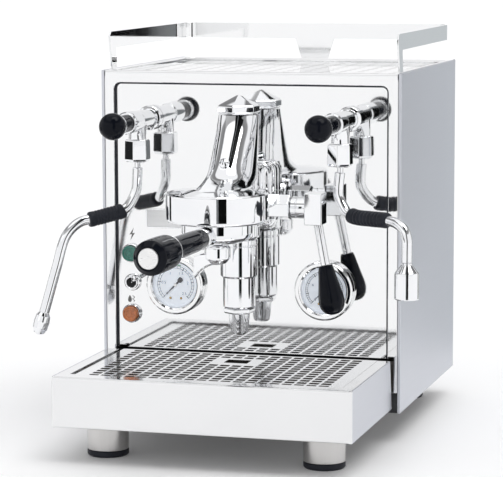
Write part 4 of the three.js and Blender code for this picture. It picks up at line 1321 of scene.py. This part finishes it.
def lamp(kind, node, z, look):
    lens = aimed(lathe([
        (0, 15), (6, 15), (6, 3.7), (7.6, 3.7), (7.6, -4.2, 0.5), (7.0, -5.2, 0.4), (6.0, -5.2, 0.3),
        (5.7, -4.3, 0.2), (4.0, -4.3, 0.2), (3.7, -3.8, 0.2), (2.2, -3.8), (1.9, -4.2), (0, -4.3),
    ], 72), BACK)
    piece(f"{kind}_lens", moved(lens, LAMP_X, 0, z), slot=f"{look}_lens", replaces=[node])
    bezel = aimed(lathe([
        (7.7, 0.4), (8.4, -0.6, 0.3), (9.4, 1.0, 0.5), (9.4, 3.7), (7.7, 3.7),
    ], 72, True), BACK)
    piece(f"{kind}_bezel", moved(bezel, LAMP_X, 0, z))


def switch():
    bush = aimed(lathe([
        (4.9, 2), (4.9, -1.9), (5.3, -2.35, 0.2), (6.1, -2.35, 0.3), (6.4, -1.9), (6.5, 0.6),
        (7.5, 0.7, 0.3), (8.3, 1.6, 0.5), (8.3, 3.7), (4.9, 3.7),
    ], 72, True), BACK)
    piece("switch_collar", moved(bush, SWITCH_X, 0, SWITCH_Z), replaces=["switch_bush"])
    # A near-black disc in the collar's hollow is painted shade.
    shadow_disc = aimed(lathe([(0, 0.6), (4.85, 0.6), (4.85, 3.6), (0, 3.6)], 48), BACK)
    piece("switch_shadow", moved(shadow_disc, SWITCH_X, 0, SWITCH_Z), slot="black_plastic", look="shade_black")
    bat = lathe([
        (0, -1.8), (1.7, -1.2, 0.4), (1.8, 5, 2), (2.4, 9, 4), (3.2, 16.6, 2.4), (2.6, 19.2, 1.2),
        (0, 19.8),
    ], 48)
    upward = Vector((0.5, -0.72, 0.48))
    piece("switch_bat", moved(aimed(bat, upward), SWITCH_X, -1, SWITCH_Z), "switch_lever",
          replaces=["switch_lever"])


def printed_signs():
    front = PANEL_FRONT - 0.06
    bolt = [(1.6, 6), (-2.6, -0.6), (-0.2, -0.2), (-1.8, -6), (2.6, 1.2), (0.2, 0.8)]
    bolt_x, bolt_z, bolt_size = LAMP_X + 0.4, 193.6, 1.08
    bolt = [(bolt_x + x * bolt_size, bolt_z + z * bolt_size) for x, z in bolt]
    drop_x, drop_z = -124, 129.3
    drop = []
    for i in range(24):
        angle = 2 * math.pi * i / 24
        narrow = 0.5 - 0.5 * math.sin(angle)
        drop.append((drop_x + 2.6 * math.cos(angle) * narrow ** 0.5, drop_z + 3.6 * math.sin(angle)))
    wave_x, wave_z = -120.6, 126.4
    wave = [(wave_x + 0.9 * math.sin(k * 0.9), wave_z + k * 0.5) for k in range(13)]
    wave += [(x + 1.0, z) for x, z in reversed(wave)]
    shapes = [prism(outline, front, front + 0.05, "xz") for outline in (bolt, drop, wave)]
    piece("printed_signs", merged(*shapes), slot="dark_steel", look="grey_ink", angle=40)


def name_plate():
    left, right, low, high = -105, -30, 201.8, 218
    blank = plate(left, right, low, high, 1.2, 2.6, 3.7)
    piece("blank_plate", blank, slot="satin_steel", look="badge_metal",
          replaces=["badge"], bevel=0.25)
    rim = moulding([(0, -0.5, 0.2), (0, 0.4, 0.3), (-1.3, 0.4, 0.3), (-1.3, -0.5, 0.2)],
                   [(left, low), (right, low), (right, high), (left, high), (left, low)])
    rim = [Vector((p.x, 2.7 - p.z * 0.8, p.y)) for p in rim[0]], rim[1]
    piece("plate_rim", rim, slot="satin_steel", look="chrome")


def instruments():
    low_figures = [(0, "0"), (0.2, "0.5"), (0.4, "1"), (0.6, "1.5"), (0.8, "2"), (1, "2.5")]
    high_figures = [(0, "0"), (0.25, "4"), (0.5, "8"), (0.75, "12"), (1, "16")]
    gauge("boiler", -GAUGE_X, low_figures, 25, [(0.36, 0.56)])
    gauge("pump", GAUGE_X, high_figures, 40, [])
    lamp("power", "power_lamp", 175, "green")
    lamp("heating", "heating_lamp", 115, "orange")
    switch()
    printed_signs()
    name_plate()


# ---- drip tray ----------------------------------------------------------------------------------


def drip_tray():
    skin = 1.4
    half, front = TRAY_HALF, TRAY_FRONT
    rim_half = half - TRAY_FLANGE
    rim_front = front + TRAY_LIP
    top_back, low_back = -11.7, -3.6
    floor = 42
    shapes = []
    # The front wall is folded over at its top and bottom, between two rounded corners.
    face = front - 0.02
    lip = front + 3
    shapes.append(prism([
        (face, TRAY_BOTTOM, 1.6), (face, TRAY_TOP, 1.6), (lip, TRAY_TOP), (lip, TRAY_TOP - 1.2),
        (front + skin, TRAY_TOP - 1.2), (front + skin, TRAY_BOTTOM + 1.2), (lip, TRAY_BOTTOM + 1.2),
        (lip, TRAY_BOTTOM),
    ], -half + 1.6, half - 1.6, "yz"))
    for x in (-half + 1.6, half - 1.6):
        shapes.append(moved(rod(1.6, TRAY_BOTTOM, TRAY_TOP - 0.02, 32, 0.5), x, front + 1.6))
    side = [
        (front + 1.6, TRAY_BOTTOM), (low_back, TRAY_BOTTOM), (top_back, TRAY_TOP - 0.02),
        (front + 1.6, TRAY_TOP - 0.02),
    ]
    walls = merged(prism(side, half - skin, half, "yz"), prism(side, -half, -half + skin, "yz"))
    piece("tray_sides", walls, "drip_tray", slot="mirror_steel", look="satin_steel", bevel=0.3)
    # The basin is stainless coloured with painted shade, which stands for its shadowed inside.
    basin = [
        block(-half + skin, half - skin, front + skin, low_back - 3, floor, floor + skin),
        prism([(low_back - 3, floor), (low_back - 1.4, floor), (top_back - 0.2, 77), (top_back - 1.8, 77)],
              -half + skin, half - skin, "yz"),
        block(-half + skin, half - skin, front + skin, front + skin + 0.4, floor, TRAY_TOP - skin - 0.1),
        block(-half + skin, -half + skin + 0.4, front + skin, top_back - 2, floor, TRAY_TOP - skin - 0.1),
        block(half - skin - 0.4, half - skin, front + skin, top_back - 2, floor, TRAY_TOP - skin - 0.1),
    ]
    piece("tray_basin", merged(*basin), "drip_tray", slot="mirror_steel", look="tray_painted_shade")
    # The rim lies on top and is folded down around the grid.
    rim_back = top_back - 0.4
    for x0, x1, y0, y1 in (
        (-half + skin, half - skin, front + skin, rim_front),
        (-half + skin, -rim_half, rim_front, rim_back),
        (rim_half, half - skin, rim_front, rim_back),
    ):
        shapes.append(block(x0, x1, y0, y1, TRAY_TOP - skin, TRAY_TOP - 0.04))
    piece("tray_drawer", merged(*shapes), "drip_tray", slot="mirror_steel", look="drawer_steel",
          replaces=["drip_tray"])
    fold = [(0, TRAY_TOP - 0.4), (0, 76.4), (6, 76.4), (6, 77.8), (1.4, 77.8), (1.4, TRAY_TOP - 0.4)]
    ledge_half, ledge_back = rim_half + 1.4, top_back - 4
    path = [
        (-ledge_half, ledge_back), (-ledge_half, rim_front - 1.4), (ledge_half, rim_front - 1.4),
        (ledge_half, ledge_back),
    ]
    piece("tray_ledge", moulding(fold, path), "drip_tray", slot="mirror_steel",
          bevel=0.3)


def drip_grid():
    half = TRAY_HALF - TRAY_FLANGE - 2
    front = TRAY_FRONT + TRAY_LIP + 2
    columns = [-110.2 + 11.6 * i for i in range(20)]
    rows = [-147 + 11 * i for i in range(13)]
    slot_half, slot_width = 4.4, 7.6
    finger_x, finger_y = (-11.5, 11.5), (-51, -33)
    xs = sorted(set([-half, half] + strip(columns, slot_half, slot_half) + list(finger_x)))
    ys = sorted(set([front, -3] + strip(rows, 0, slot_width) + list(finger_y)))

    def filled(i, j):
        x, y = (xs[i] + xs[i + 1]) / 2, (ys[j] + ys[j + 1]) / 2
        if finger_x[0] < x < finger_x[1] and finger_y[0] < y < finger_y[1]:
            return False
        if abs(x) < 21 and -60 < y < -24:
            return True
        in_column = any(abs(x - column) < slot_half for column in columns)
        in_row = any(row < y < row + slot_width for row in rows)
        return not (in_column and in_row)

    plate = perforated(xs, ys, filled, GRID_TOP - 1.6, GRID_TOP)
    piece("grid_plate", plate, "drip_grid", slot="satin_steel", look="grid_steel", replaces=["drip_grid"],
          bevel=0.2, edge_steps=2)
    # Thin dark walls at the far side of each slot are painted shade for the shaded depth of the slots.
    edges = [
        block(x - 4.3, x + 4.3, y + 7.25, y + 7.55, GRID_TOP - 1.5, GRID_TOP - 0.04)
        for x in columns for y in rows if abs(x) > 25 or not -62 < y < -22
    ]
    piece("grid_slot_painted_shade", merged(*edges), "drip_grid", slot="satin_steel", look="tray_painted_shade")


# ---- assembly -----------------------------------------------------------------------------------

side_panels()
back_of_cabinet()
front_of_cabinet()
top_of_cabinet()
cup_rail()
feet()
works_inside()
brew_group()
brew_lever()
portafilter()
valves_and_wands()
instruments()
drip_tray()
drip_grid()
